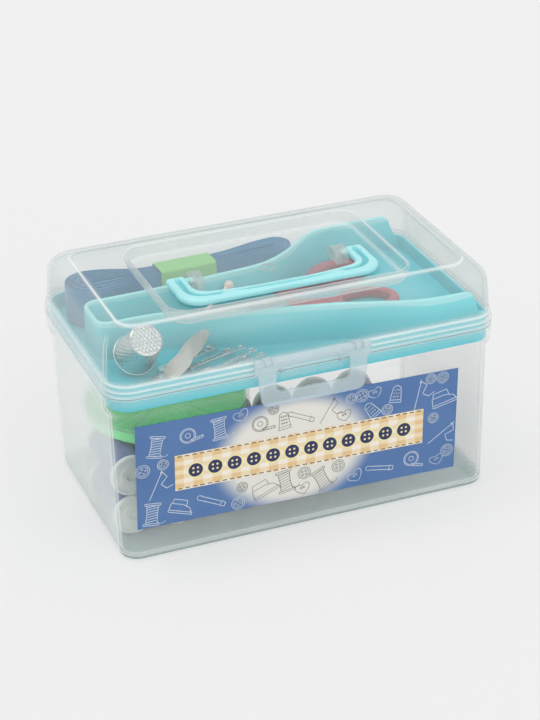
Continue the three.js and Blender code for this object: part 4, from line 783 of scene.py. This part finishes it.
rim_profile = [(-1.1, tray_bottom), (-1.1, tray_rim - 0.5), (-1.25, tray_rim - 0.15), (-1.6, tray_rim),
               (-1.9, tray_rim), (-2.25, tray_rim - 0.15), (-2.4, tray_rim - 0.5), (-2.4, tray_floor + 1.2),
               (-2.8, tray_floor + 0.35), (-3.6, tray_floor), (-3.6, tray_floor - 1.5),
               (-2.4, tray_floor - 1.5), (-2.4, tray_bottom)]
tray_wall = skin("tray_wall", [case_ring(offset, z) for offset, z in rim_profile], closed=True)
weld(tray_wall)
tray_base = skin("tray_base", [case_ring(-3.5, tray_floor - 1.5), case_ring(-3.5, tray_floor)],
                 start=True, end=True)
turquoise, tree, place = start_finish("turquoise polypropylene, moulded",
                                      {"Roughness": 0.38, "IOR": 1.49, "Coat Weight": 0.15})
cloud = add_node(tree, "ShaderNodeTexNoise", {"Scale": 30.0, "Detail": 3.0}, {"Vector": place})
fine = add_node(tree, "ShaderNodeTexNoise", {"Scale": 1500.0, "Detail": 2.0}, {"Vector": place})
height = add_node(tree, "ShaderNodeSeparateXYZ", {}, {0: place}).outputs["Z"]
# Darker towards the floor and paler at the thin tops of the dividers: painted shade low down and painted light
# through the thin tops
share = add_node(tree, "ShaderNodeMapRange", {"From Min": 79 * mm, "From Max": 98 * mm}, {"Value": height})
flow_and_height_shade = add_node(tree, "ShaderNodeMath", {"operation": "MULTIPLY_ADD", 1: 0.25}, {0: cloud, 2: share})
shades = add_node(tree, "ShaderNodeValToRGB",
                  {"stops": [(0.05, linear("#1FBCCB")), (0.45, linear("#3BCCD8")), (0.95, linear("#68DFE7")),
                             (1.0, linear("#A2ECEF"))]}, {0: flow_and_height_shade})
feed(tree, "Base Color", shades)
skin_bump = add_node(tree, "ShaderNodeBump", {"Strength": 0.08, "Distance": 0.2 * mm}, {"Height": fine})
feed(tree, "Normal", skin_bump)
pass_light(tree, 0.8)
fit(join("tray", [tray_wall, tray_base, divider]), "base", turquoise, "turquoise_plastic", "insert_tray")


# Elastic hank and its paper band
# Woven blue elastic, 17 mm wide, wound on edge into a long flat hank that lies in the tray's
# back compartment. A sleeve of green paper holds it at the waist.
hank_base, hank_height = 81.0, 17.4
left_half, right_half, waist_half = 12.6, 7.8, 5.0
band_length = 27.0
spine = spline([(-84, 34), (-26.7, 34.3), (27, 39.4)], 400)
runs = [0.0]
for a, b in zip(spine, spine[1:]):
    runs.append(runs[-1] + (b - a).length)
hank_length = runs[-1]
waist = hank_length * (84 - 26.7) / (84 + 27)


def spine_at(distance):
    distance = min(max(distance, 0.0), hank_length)
    k = min(next((i for i, run in enumerate(runs) if run > distance), len(runs) - 1), len(runs) - 1) - 1
    part = (distance - runs[k]) / (runs[k + 1] - runs[k])
    return spine[k].lerp(spine[k + 1], part), (spine[k + 1] - spine[k]).normalized()


def hank_reach(distance):
    lobe = left_half if distance < waist else right_half
    centre = left_half if distance < waist else hank_length - right_half
    flat = band_length * 0.6
    away = min(max((abs(distance - waist) - flat) / (abs(centre - waist) - flat), 0), 1)
    return waist_half + (lobe - waist_half) * (1 - math.cos(away * math.pi)) / 2


def hank_point(turn, loops):
    share = 1 - turn / (loops + 1)
    quarter, part = divmod((turn % 1) * 4, 1)
    right_centre = hank_length - right_half
    if quarter in (0, 2):
        along = left_half + (right_centre - left_half) * (part if quarter == 0 else 1 - part)
        across = (-1 if quarter == 0 else 1) * share * hank_reach(along)
    else:
        side = 1 if quarter == 1 else -1
        reach = share * (right_half if side > 0 else left_half)
        swing = (part - 0.5) * math.pi
        along = (right_centre if side > 0 else left_half) + side * reach * math.cos(swing)
        across = side * reach * math.sin(swing)
    point, heading = spine_at(along)
    return point + Vector((-heading.y, heading.x)) * across, abs(along - waist)


hank_loops, hank_steps = 11, 96
wound = [hank_point(step / hank_steps, hank_loops) for step in range(hank_loops * hank_steps + 1)]
rings, travelled, distances = [], 0.0, []
for i, (point, from_waist) in enumerate(wound):
    before, after = wound[max(i - 1, 0)][0], wound[min(i + 1, len(wound) - 1)][0]
    along = (after - before).normalized()
    out = Vector((along.y, -along.x))
    half = 0.17 + 0.2 * min(from_waist / 40, 1)
    loop = i // hank_steps
    low = hank_base + 0.25 * (loop % 2)
    high = hank_base + hank_height - 0.35 - 0.3 * math.sin(loop * 2.1) - 0.2 * math.sin(i * 0.13)
    section = [(half, low + 0.3), (half, high - 0.3), (half * 0.6, high), (-half * 0.6, high),
               (-half, high - 0.3), (-half, low + 0.3), (-half * 0.6, low), (half * 0.6, low)]
    rings.append([(point.x + out.x * x, point.y + out.y * x, z) for x, z in section])
    distances.append(travelled)
    travelled += (after - before).length / 2
hank = skin("elastic", rings, start=True, end=True)
lengthwise = hank.data.uv_layers.new(name="strip")
for corner in hank.data.loops:
    vertex = corner.vertex_index
    z = hank.data.vertices[vertex].co.z
    lengthwise.data[corner.index].uv = (distances[vertex // len(section)] * mm, z)
weld(hank)
elastic = mottled("woven polyester elastic, blue", {"Roughness": 0.8, "Sheen Weight": 0.2},
                  "#0A6492", "#1F84B2", 50.0, 3.0)
tree = elastic.node_tree
strip = add_node(tree, "ShaderNodeUVMap", {"uv_map": "strip"})
# Rubber cords run lengthwise about 1.1 mm apart, under weft threads about 0.5 mm apart that are
# drawn at 0.9 mm so that they show
cords = add_node(tree, "ShaderNodeTexWave", {"bands_direction": "Y", "Scale": 145.0, "Distortion": 0.4},
                 {"Vector": strip})
weft = add_node(tree, "ShaderNodeTexWave", {"bands_direction": "X", "Scale": 180.0, "Distortion": 1.2},
                {"Vector": strip})
woven = add_node(tree, "ShaderNodeMath", {"operation": "MULTIPLY"},
                 {0: cords.outputs["Fac"], 1: weft.outputs["Fac"]})
overlay(tree, woven, "#124E66", "ADD")
relief = add_node(tree, "ShaderNodeBump", {"Strength": 0.5, "Distance": 0.3 * mm}, {"Height": woven})
feed(tree, "Normal", relief)
fit(hank, "base", elastic, "blue_elastic", "elastic_hank")

band_centre, band_heading = spine_at(waist)
band_rings = []
for station in range(10):
    along = -band_length / 2 + band_length * station / 9
    pinch = 0.12 * math.sin(station * 2.2)
    section = ring(5.85, hank_height / 2 + 0.75 + pinch * 0.5, 1.3, 0, steps=4)
    band_rings.append([(band_centre.x + band_heading.x * along - band_heading.y * x * (1 + pinch / 8),
                        band_centre.y + band_heading.y * along + band_heading.x * x * (1 + pinch / 8),
                        hank_base + hank_height / 2 + z) for x, z, _ in section])
band = skin("paper_band", band_rings)
weld(band)
thicken(band, 0.25, even=False)
band_paper = mottled("green dyed paper", {"Roughness": 0.7}, "#7CC46C", "#98DA88", 900.0, 4.0)
tree = band_paper.node_tree
crease = add_node(tree, "ShaderNodeTexNoise", {"Scale": 90.0, "Detail": 1.0}, {"Vector": object_place(tree)})
creased = add_node(tree, "ShaderNodeBump", {"Strength": 0.35, "Distance": 0.8 * mm}, {"Height": crease})
feed(tree, "Normal", creased)
fit(band, "base", band_paper, "green_paper", "hank_band")


# Scissors
# Small right-handed scissors lie in the tray's middle compartment: two stamped steel blades on
# one rivet, each with a tang set in a red polystyrene grip.
pivot_x, pivot_y = 4.0, 9.0
low_blade, high_blade, blade_thickness, grip_middle = 80.4, 82.0, 1.3, 82.4
lower_turn, upper_turn = 8.0, -3.0


def curve_to(start, control, end, steps=6):
    return [tuple((1 - t) ** 2 * s + 2 * t * (1 - t) * c + t * t * e for s, c, e in zip(start, control, end))
            for t in [(i + 1) / steps for i in range(steps)]]


def blade_outline(side):
    w = 5.2
    points = [(-62, side * w * 0.1), (-57, -side * w * 0.32), (-18.6, -side * w * 0.85)]
    points += curve_to(points[-1], (0, -side * w * 1.15), (w * 0.9, -side * w * 0.2))
    points += [(18, side * w * 0.75), (18, side * w * 1.35), (w, side * w * 0.95)]
    points += curve_to(points[-1], (0, side * w * 0.95), (-w * 1.6, side * w * 0.5))
    return points


def grip_loops(side):
    centre, cant = Vector((44.0, side * 12.2)), Matrix.Rotation(side * math.radians(7), 2)
    return [[centre + cant @ Vector((half_length * math.cos(t), half_width * math.sin(t)))
             for t in full_turn(40)] for half_length, half_width in ((15.5, 11.5), (10.9, 6.9))]


scissor_steel = mottled("ground blade steel", {"Metallic": 1.0}, "#A9ADB0", "#D5D8D9", 350.0,
                        stretch=(1, 12, 1), rough=(0.2, 0.42))
red = mottled("red polystyrene, moulded", {"Roughness": 0.28, "IOR": 1.59, "Coat Weight": 0.3},
              "#9A1C38", "#B7304A", 120.0, relief=0.1)
for side, turn, level, body, which in ((1, lower_turn, low_blade, "base", "lower"),
                                       (-1, upper_turn, high_blade, "scissors_half", "upper")):
    at_blade = shift(pivot_x, pivot_y, level + blade_thickness / 2) @ turned(turn, "Z")
    blade = plate("scissor_blade_" + which, [blade_outline(side), arc(0, 0, 2.1, 0, 330, 11)],
                  blade_thickness, 0.25, at_blade)
    fit(blade, body, scissor_steel, "steel", "scissors_blade_" + which, crease=25)
    at_grip = shift(pivot_x, pivot_y, grip_middle) @ turned(turn, "Z")
    loop = plate("loop", grip_loops(side), 4.6, 1.7, at_grip)
    neck_outline = [(8.84, side * 1.56), (31.7, side * 6.7), (31.7, side * 16.3), (8.84, side * 9.1)]
    neck = plate("neck", [neck_outline], 4.4, 1.0, at_grip)
    fit(join("scissor_grip_" + which, [loop, neck]), body, red, "red_plastic", "scissors_grip_" + which)
pin_profile = [(0, 0), (1.8, 0), (1.8, 3.5), (2.7, 3.5), (2.9, 3.75), (2.4, 4.05), (1.2, 4.2), (0, 4.2)]
fit(lathe("scissor_rivet", pin_profile, 32, shift(pivot_x, pivot_y, 80.1)), "base", scissor_steel, "steel",
    "scissors_rivet")


# Thimble
# Deep-drawn steel, nickel plated, with staggered rows of punched dimples on its side and end and
# a rolled rim. It leans forwards on its rim in the tray's front compartment.
thimble_mouth, thimble_end, thimble_side, thimble_lean = 9.4, 7.5, 18.3, 46.0
thimble_place = (shift(-70, -23.6, 80.1 + 9.75 * math.sin(math.radians(thimble_lean)))
                 @ turned(7.5, "Z") @ turned(thimble_lean, "X"))
dimple_pitch, dimple_radius, dimple_depth = 1.75, 0.72, 0.34


def dimple(u, v):
    # How deep the nearest punched dimple is at a place on the surface, u round it and v along it
    row = round(v / dimple_pitch)
    column = u / dimple_pitch + 0.5 * (row % 2)
    away = math.hypot((column - round(column)) * dimple_pitch, v - row * dimple_pitch)
    return dimple_depth * max(0.0, 1 - (away / dimple_radius) ** 2)


rings = []
for level in range(52):
    height = 0.3 + (thimble_side - 0.3) * level / 51
    base = thimble_mouth + (thimble_end - thimble_mouth) * height / thimble_side
    loop = []
    for t in full_turn(180):
        radius = base - (dimple(t * 8.4, height) if 3.4 < height < 17.4 else 0)
        loop.append((radius * math.cos(t), radius * math.sin(t), height))
    rings.append(loop)
for step in range(1, 24):
    radius = thimble_end * (1 - step / 23)
    crown = thimble_side + 0.7 * math.sin(math.radians(min(step * 30, 90)))
    loop = []
    for t in full_turn(180):
        x, y = radius * math.cos(t), radius * math.sin(t)
        loop.append((x, y, crown - (dimple(x + 40, y + 40) if radius < 6.6 else 0)))
    rings.append(loop)
thimble = skin("thimble_cup", rings)
weld(thimble)
thicken(thimble, 0.45, even=False)
thimble.data.transform(thimble_place)
rim_profile = [(thimble_mouth - 0.1 + 0.42 * math.cos(t), 0.42 + 0.42 * math.sin(t)) for t in full_turn(10)]
rolled = lathe("rolled_rim", rim_profile, 120, thimble_place, closed=True)
bright = mottled("nickel plate, polished", {"Metallic": 1.0}, "#BDC1C1", "#E2E5E4", 200.0, 3.0,
                 rough=(0.08, 0.24))
fit(join("thimble_dimpled", [thimble, rolled]), "base", bright, "steel", "thimble", crease=60)


# Needle threader
# Stamped from tinned sheet steel, waisted for the fingers, with a raised line round its edge and
# a bow of fine spring wire crimped in at the low end.
bow_place = shift(-61, -42.9, 83.0) @ turned(41, "Z")
threader_place = bow_place @ turned(-13.5, "Y")


def threader_outline(inset):
    half, length = 5.25 - inset, 34.0 - inset
    edge = [(inset, -half * 0.6)]
    edge += curve_to(edge[-1], (length * 0.2, -half * 1.2), (length * 0.45, -half * 0.75), 8)
    edge += curve_to(edge[-1], (length * 0.7, -half * 1.1), (length, -half * 0.35), 8)
    return edge + [(x, -y) for x, y in edge[::-1]]


tin = plate("tin", [threader_outline(0)], 0.6, 0.15, threader_place @ shift(0, 0, 0.3))
raised_line = plate("raised", [threader_outline(0.9), threader_outline(1.5)[::-1]], 0.24, 0.1,
                    threader_place @ shift(0, 0, 0.66))
satin = mottled("tinned sheet steel, satin", {"Metallic": 1.0}, "#CAC6BE", "#E8E5DF", 260.0, 3.0,
                rough=(0.35, 0.55))
fit(join("threader_plate", [tin, raised_line]), "base", satin, "steel", "needle_threader_plate")


def wire(name, points, radius, place):
    curve = bpy.data.curves.new(name, "CURVE")
    curve.dimensions, curve.use_fill_caps = "3D", True
    curve.bevel_depth, curve.bevel_resolution = radius * mm, 2
    draw(curve, points)
    return cast(name, curve, place)


bow_knots = [(-0.6, -0.8, 0.3), (-4.5, -2.4, 0.3), (-9, 0, 0.3), (-4.5, 2.4, 0.3), (-0.6, 0.8, 0.3)]
bow = wire("threader_bow", spline(bow_knots, 40), 0.3, bow_place)
fit(bow, "base", steel, "steel", "needle_threader_bow")


# Ball-ended bodkin
# Polished pale plastic: a straight tapered stem with a ball on top that leans on the back divider.
ball, stem_end = Vector((-12.2, 14.6, 92.8)), Vector((-41, -4.5, 81.9))
stem = ball - stem_end
bodkin_profile = [(0, 0), (0.4, 0), (0.75, 1.2), (0.9, 2.7), (0.9, stem.length - 2.6)]
for step in range(3, 19):
    turn = math.radians(step * 10)
    bodkin_profile.append((2.35 * math.sin(turn), stem.length - 2.35 * math.cos(turn)))
pale = mottled("pale pink acetal, polished", {"Roughness": 0.22, "Coat Weight": 0.4},
               "#DDBFB4", "#F2E0D8", 150.0)
bodkin = lathe("bodkin", bodkin_profile, 28, lean(stem_end, stem))
fit(bodkin, "base", pale, "pale_plastic", "ball_end_bodkin")


# Safety pins
# Bright steel wire bent round a coil, the point caught in a pressed sheet-metal cap. Three lie
# side by side in the tray's front compartment, coils to the right, and thin ones lie on them.
coil_shares = [(-0.383, -0.392), (-0.318, -0.502), (-0.272, -0.698)]
cap_shares = [(-0.652, -0.6), (-0.706, -0.755), (-0.692, -0.893)]


def bend_pin(name, coil, cap, floor_z, spread, wire_radius):
    run = Vector(cap) - Vector(coil)
    length, heading = run.length, math.atan2(run.y, run.x)
    level, arm, coil_radius = 0.62 * spread, length - 0.3, spread * 1.05
    knots = [(arm, -0.6 * spread, level - 0.5), (length / 2, -spread, level - 0.75)]
    for step in range(25):
        turn = math.radians(-90 - step / 24 * 540)
        climb = (step / 24 - 0.5) * 3.2 * wire_radius
        knots.append((coil_radius * math.cos(turn), coil_radius * math.sin(turn), level + climb))
    knots += [(length / 2, spread, level + 0.75), (arm, 0.6 * spread, level + 0.5)]
    lay = shift(coil[0], coil[1], floor_z) @ Matrix.Rotation(heading, 4, "Z")
    pin = wire(name, spline(knots, 160), wire_radius, lay)
    # The cap is in sizes of the large pin's and scaled with the spread of the arms
    scale = spread / 2.1
    head = lay @ shift(length - 3 * scale, 0, 0) @ Matrix.Scale(scale, 4)
    outline = [(0, -2.4), (4, -3)] + arc(4, 0, 3, -90, 90, 10) + [(4, 3), (0, 2.4)]
    sheets = [plate("cap", [outline], 0.5, 0.12, head @ shift(0, 0, z)) for z in (0.26, 2.34)]
    back = arc(4, 0, 3, -100, 100, 14)
    sheets.append(skin("cap_edge", [[(x, y, z) for x, y in back + arc(4, 0, 2.55, 100, -100, 14)]
                                    for z in (0.3, 2.3)], start=True, end=True))
    sheets[-1].data.transform(head)
    weld(sheets[-1])
    return pin, join(name + "_cap", sheets)


for order, (coil, cap) in enumerate(zip(case_points(coil_shares), case_points(cap_shares))):
    pin, pressed = bend_pin("safety_pin_%d" % (order + 1), coil, cap, 80.1, 2.1, 0.42)
    fit(pin, "base", steel, "steel", "safety_pin_wire_%d" % (order + 1))
    fit(pressed, "base", steel, "steel", "safety_pin_cap_%d" % (order + 1))
for order, (coil, cap) in enumerate((((-19.5, -34.0), (-43.5, -44.8)), ((-23.0, -29.5), (-48.5, -38.5)),
                                     ((-17.5, -39.5), (-41.0, -47.8)))):
    pin, pressed = bend_pin("thin_pin_%d" % (order + 1), coil, cap, 82.7, 1.5, 0.3)
    fit(pin, "base", steel, "steel")
    fit(pressed, "base", steel, "steel")


# Lid
# Clear polypropylene, injection moulded in one: a beaded skirt over the tub's rim, a rounded
# dome, a raised flat panel, and a sunk well in it for the folded handle.
lid_low, shoulder_z, panel_top, well_floor = 82.5, 101.4, 111.1, 105.0
rings, rims = [], []


def lid_level(rim, half_x, half_y, corner, z, centre_y=0.0):
    rings.append(ring(half_x, half_y, corner, z, centre_y, lead=corner_lead))
    rims.append(rim)


# Here and in the loops below, the last number of each level is its rim value: the higher, the milkier the
# plastic and the paler its painted highlight line
for offset, z, rim in ((1.2, lid_low, 0.8), (1.4, lid_low + 0.3, 0.6), (1.4, lid_low + 1.2, 0.3),
                       (1.4, 84.9, 0.3), (1.3, 85.3, 0.7), (0.9, 85.6, 0.9), (0.9, 86.2, 0.3),
                       (0.9, 87.5, 0.4), (0.75, 88.0, 0.8), (0.1, 88.3, 0.9), (-0.05, 88.9, 0.4),
                       (-0.1, 90.5, 0.12), (-0.5, 96, 0.05), (-1.0, shoulder_z, 0.1)):
    lid_level(rim, case_length / 2 + offset, case_depth / 2 + offset, case_corner + offset, z)
for step in range(1, 10):
    turn = math.radians(10 * step)
    in_by = 1 - math.cos(turn)
    lid_level(0.15, case_length / 2 - 1 - 7.6 * in_by, case_depth / 2 - 1 - 9.1 * in_by, 9.6 - 1.1 * step / 9,
              shoulder_z + 9 * math.sin(turn))
for inset, z, rim in ((0.25, 110.45, 0.7), (0.4, 110.8, 1.0), (0.7, 111.05, 0.9), (1.4, panel_top, 0.35),
                      (2.4, panel_top, 0.0)):
    lid_level(rim, 81.4 - inset, 42.9 - inset, 8.5 - inset / 2, z)
for grow_by, z, rim in ((1.6, panel_top, 0.0), (0.8, panel_top, 0.3), (0.25, 110.95, 0.8), (0.0, 110.5, 0.8),
                        (-0.3, 109.2, 0.3), (-0.9, 106.4, 0.3), (-1.15, 105.6, 0.5), (-1.5, 105.15, 0.6),
                        (-2.1, well_floor, 0.4), (-3.2, well_floor, 0.05)):
    lid_level(rim, 56 + grow_by, 37 + grow_by, 9.5 + grow_by * 0.6, z, -1.0)
lid = skin("lid", rings, rims=rims, end=True)
# Painted highlight lines round the lid's corners
paint_corner_highlights(lid, range(2, 18), 0.8)
thicken(lid, 1.4)
lid_plastic = clear_moulding("clear polypropylene lid, injection moulded",
                             "#CCD9D7", "#F8FCFB", 0.095, 0.6, 0.4, 0.1)
fit(lid, "lid", lid_plastic, "clear_plastic", "lid_shell", crease=75)


# Lugs, hinge knuckles and latch knuckles on the lid
# Solid lumps of the same moulding, thick enough to look frosted: two round-topped lugs in the well
# hold the handle's pins, two knuckles turn in the tub's ears and two carry the latch's axle.
bail_pin_y, bail_pin_z, latch_y, latch_z = -3.0, 107.3, -56.6, 88.4
lug_outline = [(-8.4, 104.4), (2.4, 104.4), (2.4, 105.7)] + arc(bail_pin_y, 105.7, 5.4, 0, 180, 16)
lug_hole = arc(bail_pin_y, bail_pin_z, 1.8, 0, 330, 11)
lugs = []
for side in (-1, 1):
    lugs.append(plate("lug", [lug_outline], 3.6, 0.9, shift(side * 33.0, 0, 0) @ along_x))
    lugs.append(plate("lug", [lug_outline, lug_hole], 3.4, 0.7, shift(side * 36.1, 0, 0) @ along_x))
gate_profile = [(3.0, -0.4), (3.5, -0.4), (3.5, 0.3), (3.35, 0.5), (3.15, 0.5), (3.0, 0.3)]
lugs.append(lathe("gate_mark", gate_profile, 32, shift(2, 1, well_floor), closed=True))


def rod(name, x0, x1, radius, y, z):
    end = min(0.3, radius / 3)
    profile = [(0, x0), (radius - end, x0), (radius, x0 + end), (radius, x1 - end), (radius - end, x1),
               (0, x1)]
    return lathe(name, profile, 28, shift(0, y, z) @ turned(90, "Y"))


front_lugs = []
for side in (-1, 1):
    left = side * hinge_x - knuckle / 2
    lugs.append(rod("knuckle", left, left + knuckle, barrel, hinge_y, hinge_z))
    lugs.append(rod("stub", left - 3.3, left + knuckle + 3.3, 0.9, hinge_y, hinge_z))
    arm = [(53.7, hinge_z - 0.6), (hinge_y, hinge_z - 0.6), (hinge_y, hinge_z + 1.5), (53.7, hinge_z + 1.5)]
    lugs.append(plate("arm", [arm], knuckle, 0.3, shift(side * hinge_x, 0, 0) @ along_x))
    tongue = [(-53.2, 87.3), (-56.4, 87.3), (-56.4, 89.5), (-53.2, 89.5)]
    front_lugs.append(plate("arm", [tongue], 3.4, 0.3, shift(side * 21, 0, 0) @ along_x))
    front_lugs.append(rod("latch_knuckle", side * 21 - 1.7, side * 21 + 1.7, barrel, latch_y, latch_z))
    rib = [(-54.2, 82.8), (-55.4, 82.8), (-55.4, 86.2), (-54.2, 86.2)]
    front_lugs.append(plate("catch_rib", [rib], 2.0, 0.3, shift(side * 13.8, 0, 0) @ along_x))
frosted = clear_moulding("clear polypropylene, thick", "#CBD6D2", "#F4F8F7", 0.36, 0.4, 0.3, 0.14)
fit(join("lid_lugs_and_knuckles", lugs), "lid", frosted, "milky_plastic")


# Carry handle
# Turquoise polypropylene bail folded into the well. Its arms end at two pins in the lugs, and a
# channel is moulded along its top, round both corners and pointed at the ends of the bar.
bail_low, bail_high = 105.6, 109.0
outer_edge = [(-47.1, -1.1 - 16.4 * i / 8) for i in range(8)] + arc(-37.6, -17.5, 9.5, 180, 270, 16)
outer_edge += [(-37.6 + 37.6 * i / 24, -27) for i in range(1, 25)]
inner_edge = [(-38.3, -1.1 - 10.9 * i / 8) for i in range(8)] + arc(-31.3, -12, 7, 180, 270, 16)
bar_inside = curve_to((-31.3, -19), (-19.1, -21.2), (0, -21.2), 24)
inner_edge += bar_inside
left_half_pairs = list(zip(outer_edge, inner_edge))
pairs = left_half_pairs + [((-o[0], o[1]), (-i[0], i[1])) for o, i in left_half_pairs[-2::-1]]
rings, shades = [], []
for station, (outside, inside) in enumerate(pairs):
    outside, inside = Vector(outside), Vector(inside)
    width = (inside - outside).length
    from_middle = abs(outside.x + inside.x) / 2
    from_end = min(station, len(pairs) - 1 - station)
    arm_part = min(max((from_middle - 27.5) / 1.5, 0), 1) * min(from_end / 1.5, 1)
    bar_part = max(0.0, 1 - from_middle / 25)
    groove_half = max(1.55 * (1 - (1 - bar_part) ** 2), 1.75 * arm_part, 0.05)
    groove_depth = max(1.3 * min(bar_part * 3, 1), 1.7 * arm_part)
    middle = width * (0.5 if from_middle < 26 else 0.54)
    edge = min(1.6, middle - groove_half * 1.1 - 0.05, width - middle - groove_half * 1.1 - 0.05)
    flank = [(1.1, bail_low), (0.45, bail_low + 0.35), (0.05, bail_low + 1.1)]
    flank += [(edge * (1 - math.cos(math.radians(a))), bail_high - edge * (1 - math.sin(math.radians(a))))
              for a in range(0, 91, 18)]
    section = list(flank)
    for across in (-1.05, -0.95, -0.82, -0.68, -0.54, -0.4, 0, 0.4, 0.54, 0.68, 0.82, 0.95, 1.05):
        fall = (1 + math.cos(math.pi * min(max((abs(across) - 0.35) / 0.65, 0), 1))) / 2
        section.append((middle + groove_half * across, bail_high - groove_depth * fall))
    section += [(width - s, z) for s, z in flank[::-1]]
    across = (inside - outside).normalized()
    rings.append([(outside.x + across.x * s, outside.y + across.y * s, z) for s, z in section])
    groove = range(len(flank), len(section) - len(flank))
    shades += [max(bail_high - z, 0) / 1.6 if i in groove else 0 for i, (_, z) in enumerate(section)]
bail = skin("bail", rings, start=True, end=True)
tag(bail.data, "sunk", shades)
weld(bail)
bail_parts = [bail]
for side in (-1, 1):
    ends = sorted((side * 34.9, side * 39.5))
    bail_parts.append(rod("bail_pin", ends[0], ends[1], 1.5, bail_pin_y, bail_pin_z))
handle_plastic = mottled("turquoise polypropylene, glossy", {"IOR": 1.49, "Coat Weight": 0.35},
                         "#9FE6EA", "#B0EFF1", 70.0, rough=(0.22, 0.36))
tree = handle_plastic.node_tree
# Painted shade: the channel is tinted darker the deeper it is sunk
deep = add_node(tree, "ShaderNodeAttribute", {"attribute_name": "sunk"}).outputs["Fac"]
painted_channel_shade = add_node(tree, "ShaderNodeMath", {"operation": "MULTIPLY", "use_clamp": True, 1: 0.75}, {0: deep})
overlay(tree, painted_channel_shade, "#5FC3CC")
fit(join("handle_bail", bail_parts), "handle", handle_plastic, "turquoise_plastic", "carry_handle", crease=75)


# Front latch
# Milky polypropylene plate with a window, hung on the lid by an axle along its top edge. It
# snaps over the catch frame on the tub.
latch_outline = [(-27, 88.2), (-27, 83.5), (-26.6, 83.2), (-25.7, 83.2)] + arc(-20.3, 71.2, 4, 180, 270, 8)
latch_outline += [(-x, z) for x, z in latch_outline[::-1]]
window = arc(14.2, 82.6, 3, 0, 90, 6) + arc(-14.2, 82.6, 3, 90, 180, 6)
window += arc(-14.2, 76.6, 3, 180, 270, 6) + arc(14.2, 76.6, 3, 270, 360, 6)
latch_parts = [plate("latch", [latch_outline, window], 1.8, 0.5, shift(0, latch_y, 0) @ facing_front)]
for x0, x1, radius in ((-27, -23, barrel), (-19, 19, barrel), (23, 27, barrel), (-24, 24, 0.9)):
    latch_parts.append(rod("barrel", x0, x1, radius, latch_y, latch_z))
milky = clear_moulding("milky polypropylene, moulded", "#C6D9DF", "#F0F8FB", 0.42, 0.4, 0.3, 0.25)
fit(join("latch_plate", latch_parts), "latch", milky, "milky_plastic", "front_latch")
fit(join("lid_latch_knuckles", front_lugs), "lid", milky, "milky_plastic")


# Studio
# Plain pale floor in an even white surround, as in a light tent, with a wide soft light from
# above and a weaker one from the front.
floor = skin("floor", [[(-3000, -3000, 0), (3000, -3000, 0), (3000, 3000, 0), (-3000, 3000, 0)]], end=True)
floor_paint = mottled("matt pale backdrop board", {"Roughness": 0.9}, "#EDEDED", "#EFEFEF", 4.0)


def looked_at(tree):
    # 1 for the rays that carry a picture to the camera, and 0 for those that only carry light
    rays = add_node(tree, "ShaderNodeLightPath").outputs
    seen = add_node(tree, "ShaderNodeMath", {"operation": "MAXIMUM"},
                    {0: rays["Is Camera Ray"], 1: rays["Is Glossy Ray"]})
    shown = add_node(tree, "ShaderNodeMath", {"operation": "MAXIMUM"},
                     {0: seen, 1: rays["Is Transmission Ray"]})
    return shown


# The camera sees the board's shadows paler than they are, as in a retouched studio picture
tree = floor_paint.node_tree
lifted = add_node(tree, "ShaderNodeMath", {"operation": "MULTIPLY", 1: 0.6}, {0: looked_at(tree)})
even_white = add_node(tree, "ShaderNodeEmission", {"Color": linear("#F0F0F0"), "Strength": 1.0})
board = add_node(tree, "ShaderNodeMixShader", {},
                 {0: lifted, 1: tree.nodes["Principled BSDF"], 2: even_white})
plug(tree, board, tree.nodes["Material Output"].inputs["Surface"])
floor.data.materials.append(floor_paint)

world = bpy.data.worlds.new("white surround")
bpy.context.scene.world = world
world.use_nodes = True
tree = world.node_tree
tree.nodes.clear()
surround = add_node(tree, "ShaderNodeBackground", {"Color": (1, 1, 1, 1), "Strength": 0.68})
backdrop = add_node(tree, "ShaderNodeBackground", {"Color": linear("#EFEFEF"), "Strength": 1.0})
either = add_node(tree, "ShaderNodeMixShader", {},
                  {0: looked_at(tree), 1: surround, 2: backdrop})
add_node(tree, "ShaderNodeOutputWorld", {}, {0: either})

for name, towards, spread, strength in (("key", (-0.4, 0.12, 1.0), 35, 0.8),
                                        ("front", (0.25, -1.0, 0.55), 60, 0.75)):
    lamp = bpy.data.lights.new(name, "SUN")
    lamp.angle, lamp.energy = math.radians(spread), strength
    light = bpy.data.objects.new(name, lamp)
    light.rotation_euler = Vector(towards).to_track_quat("Z", "Y").to_euler()
    bpy.context.scene.collection.objects.link(light)

camera = bpy.data.objects.new("photo_camera", bpy.data.cameras.new("photo_camera"))
camera.data.sensor_fit, camera.data.sensor_height, camera.data.lens = "VERTICAL", 36.0, 103.72
camera.data.clip_start, camera.data.clip_end = 0.01, 50
camera.matrix_world = Matrix(((0.931756, 0.186278, -0.311660, -0.295562),
                              (-0.362243, 0.418459, -0.832870, -0.793527),
                              (-0.024729, 0.888928, 0.457379, 0.494356), (0, 0, 0, 1)))
bpy.context.scene.collection.objects.link(camera)
bpy.context.scene.camera = camera
bpy.context.scene.view_settings.view_transform = "Standard"
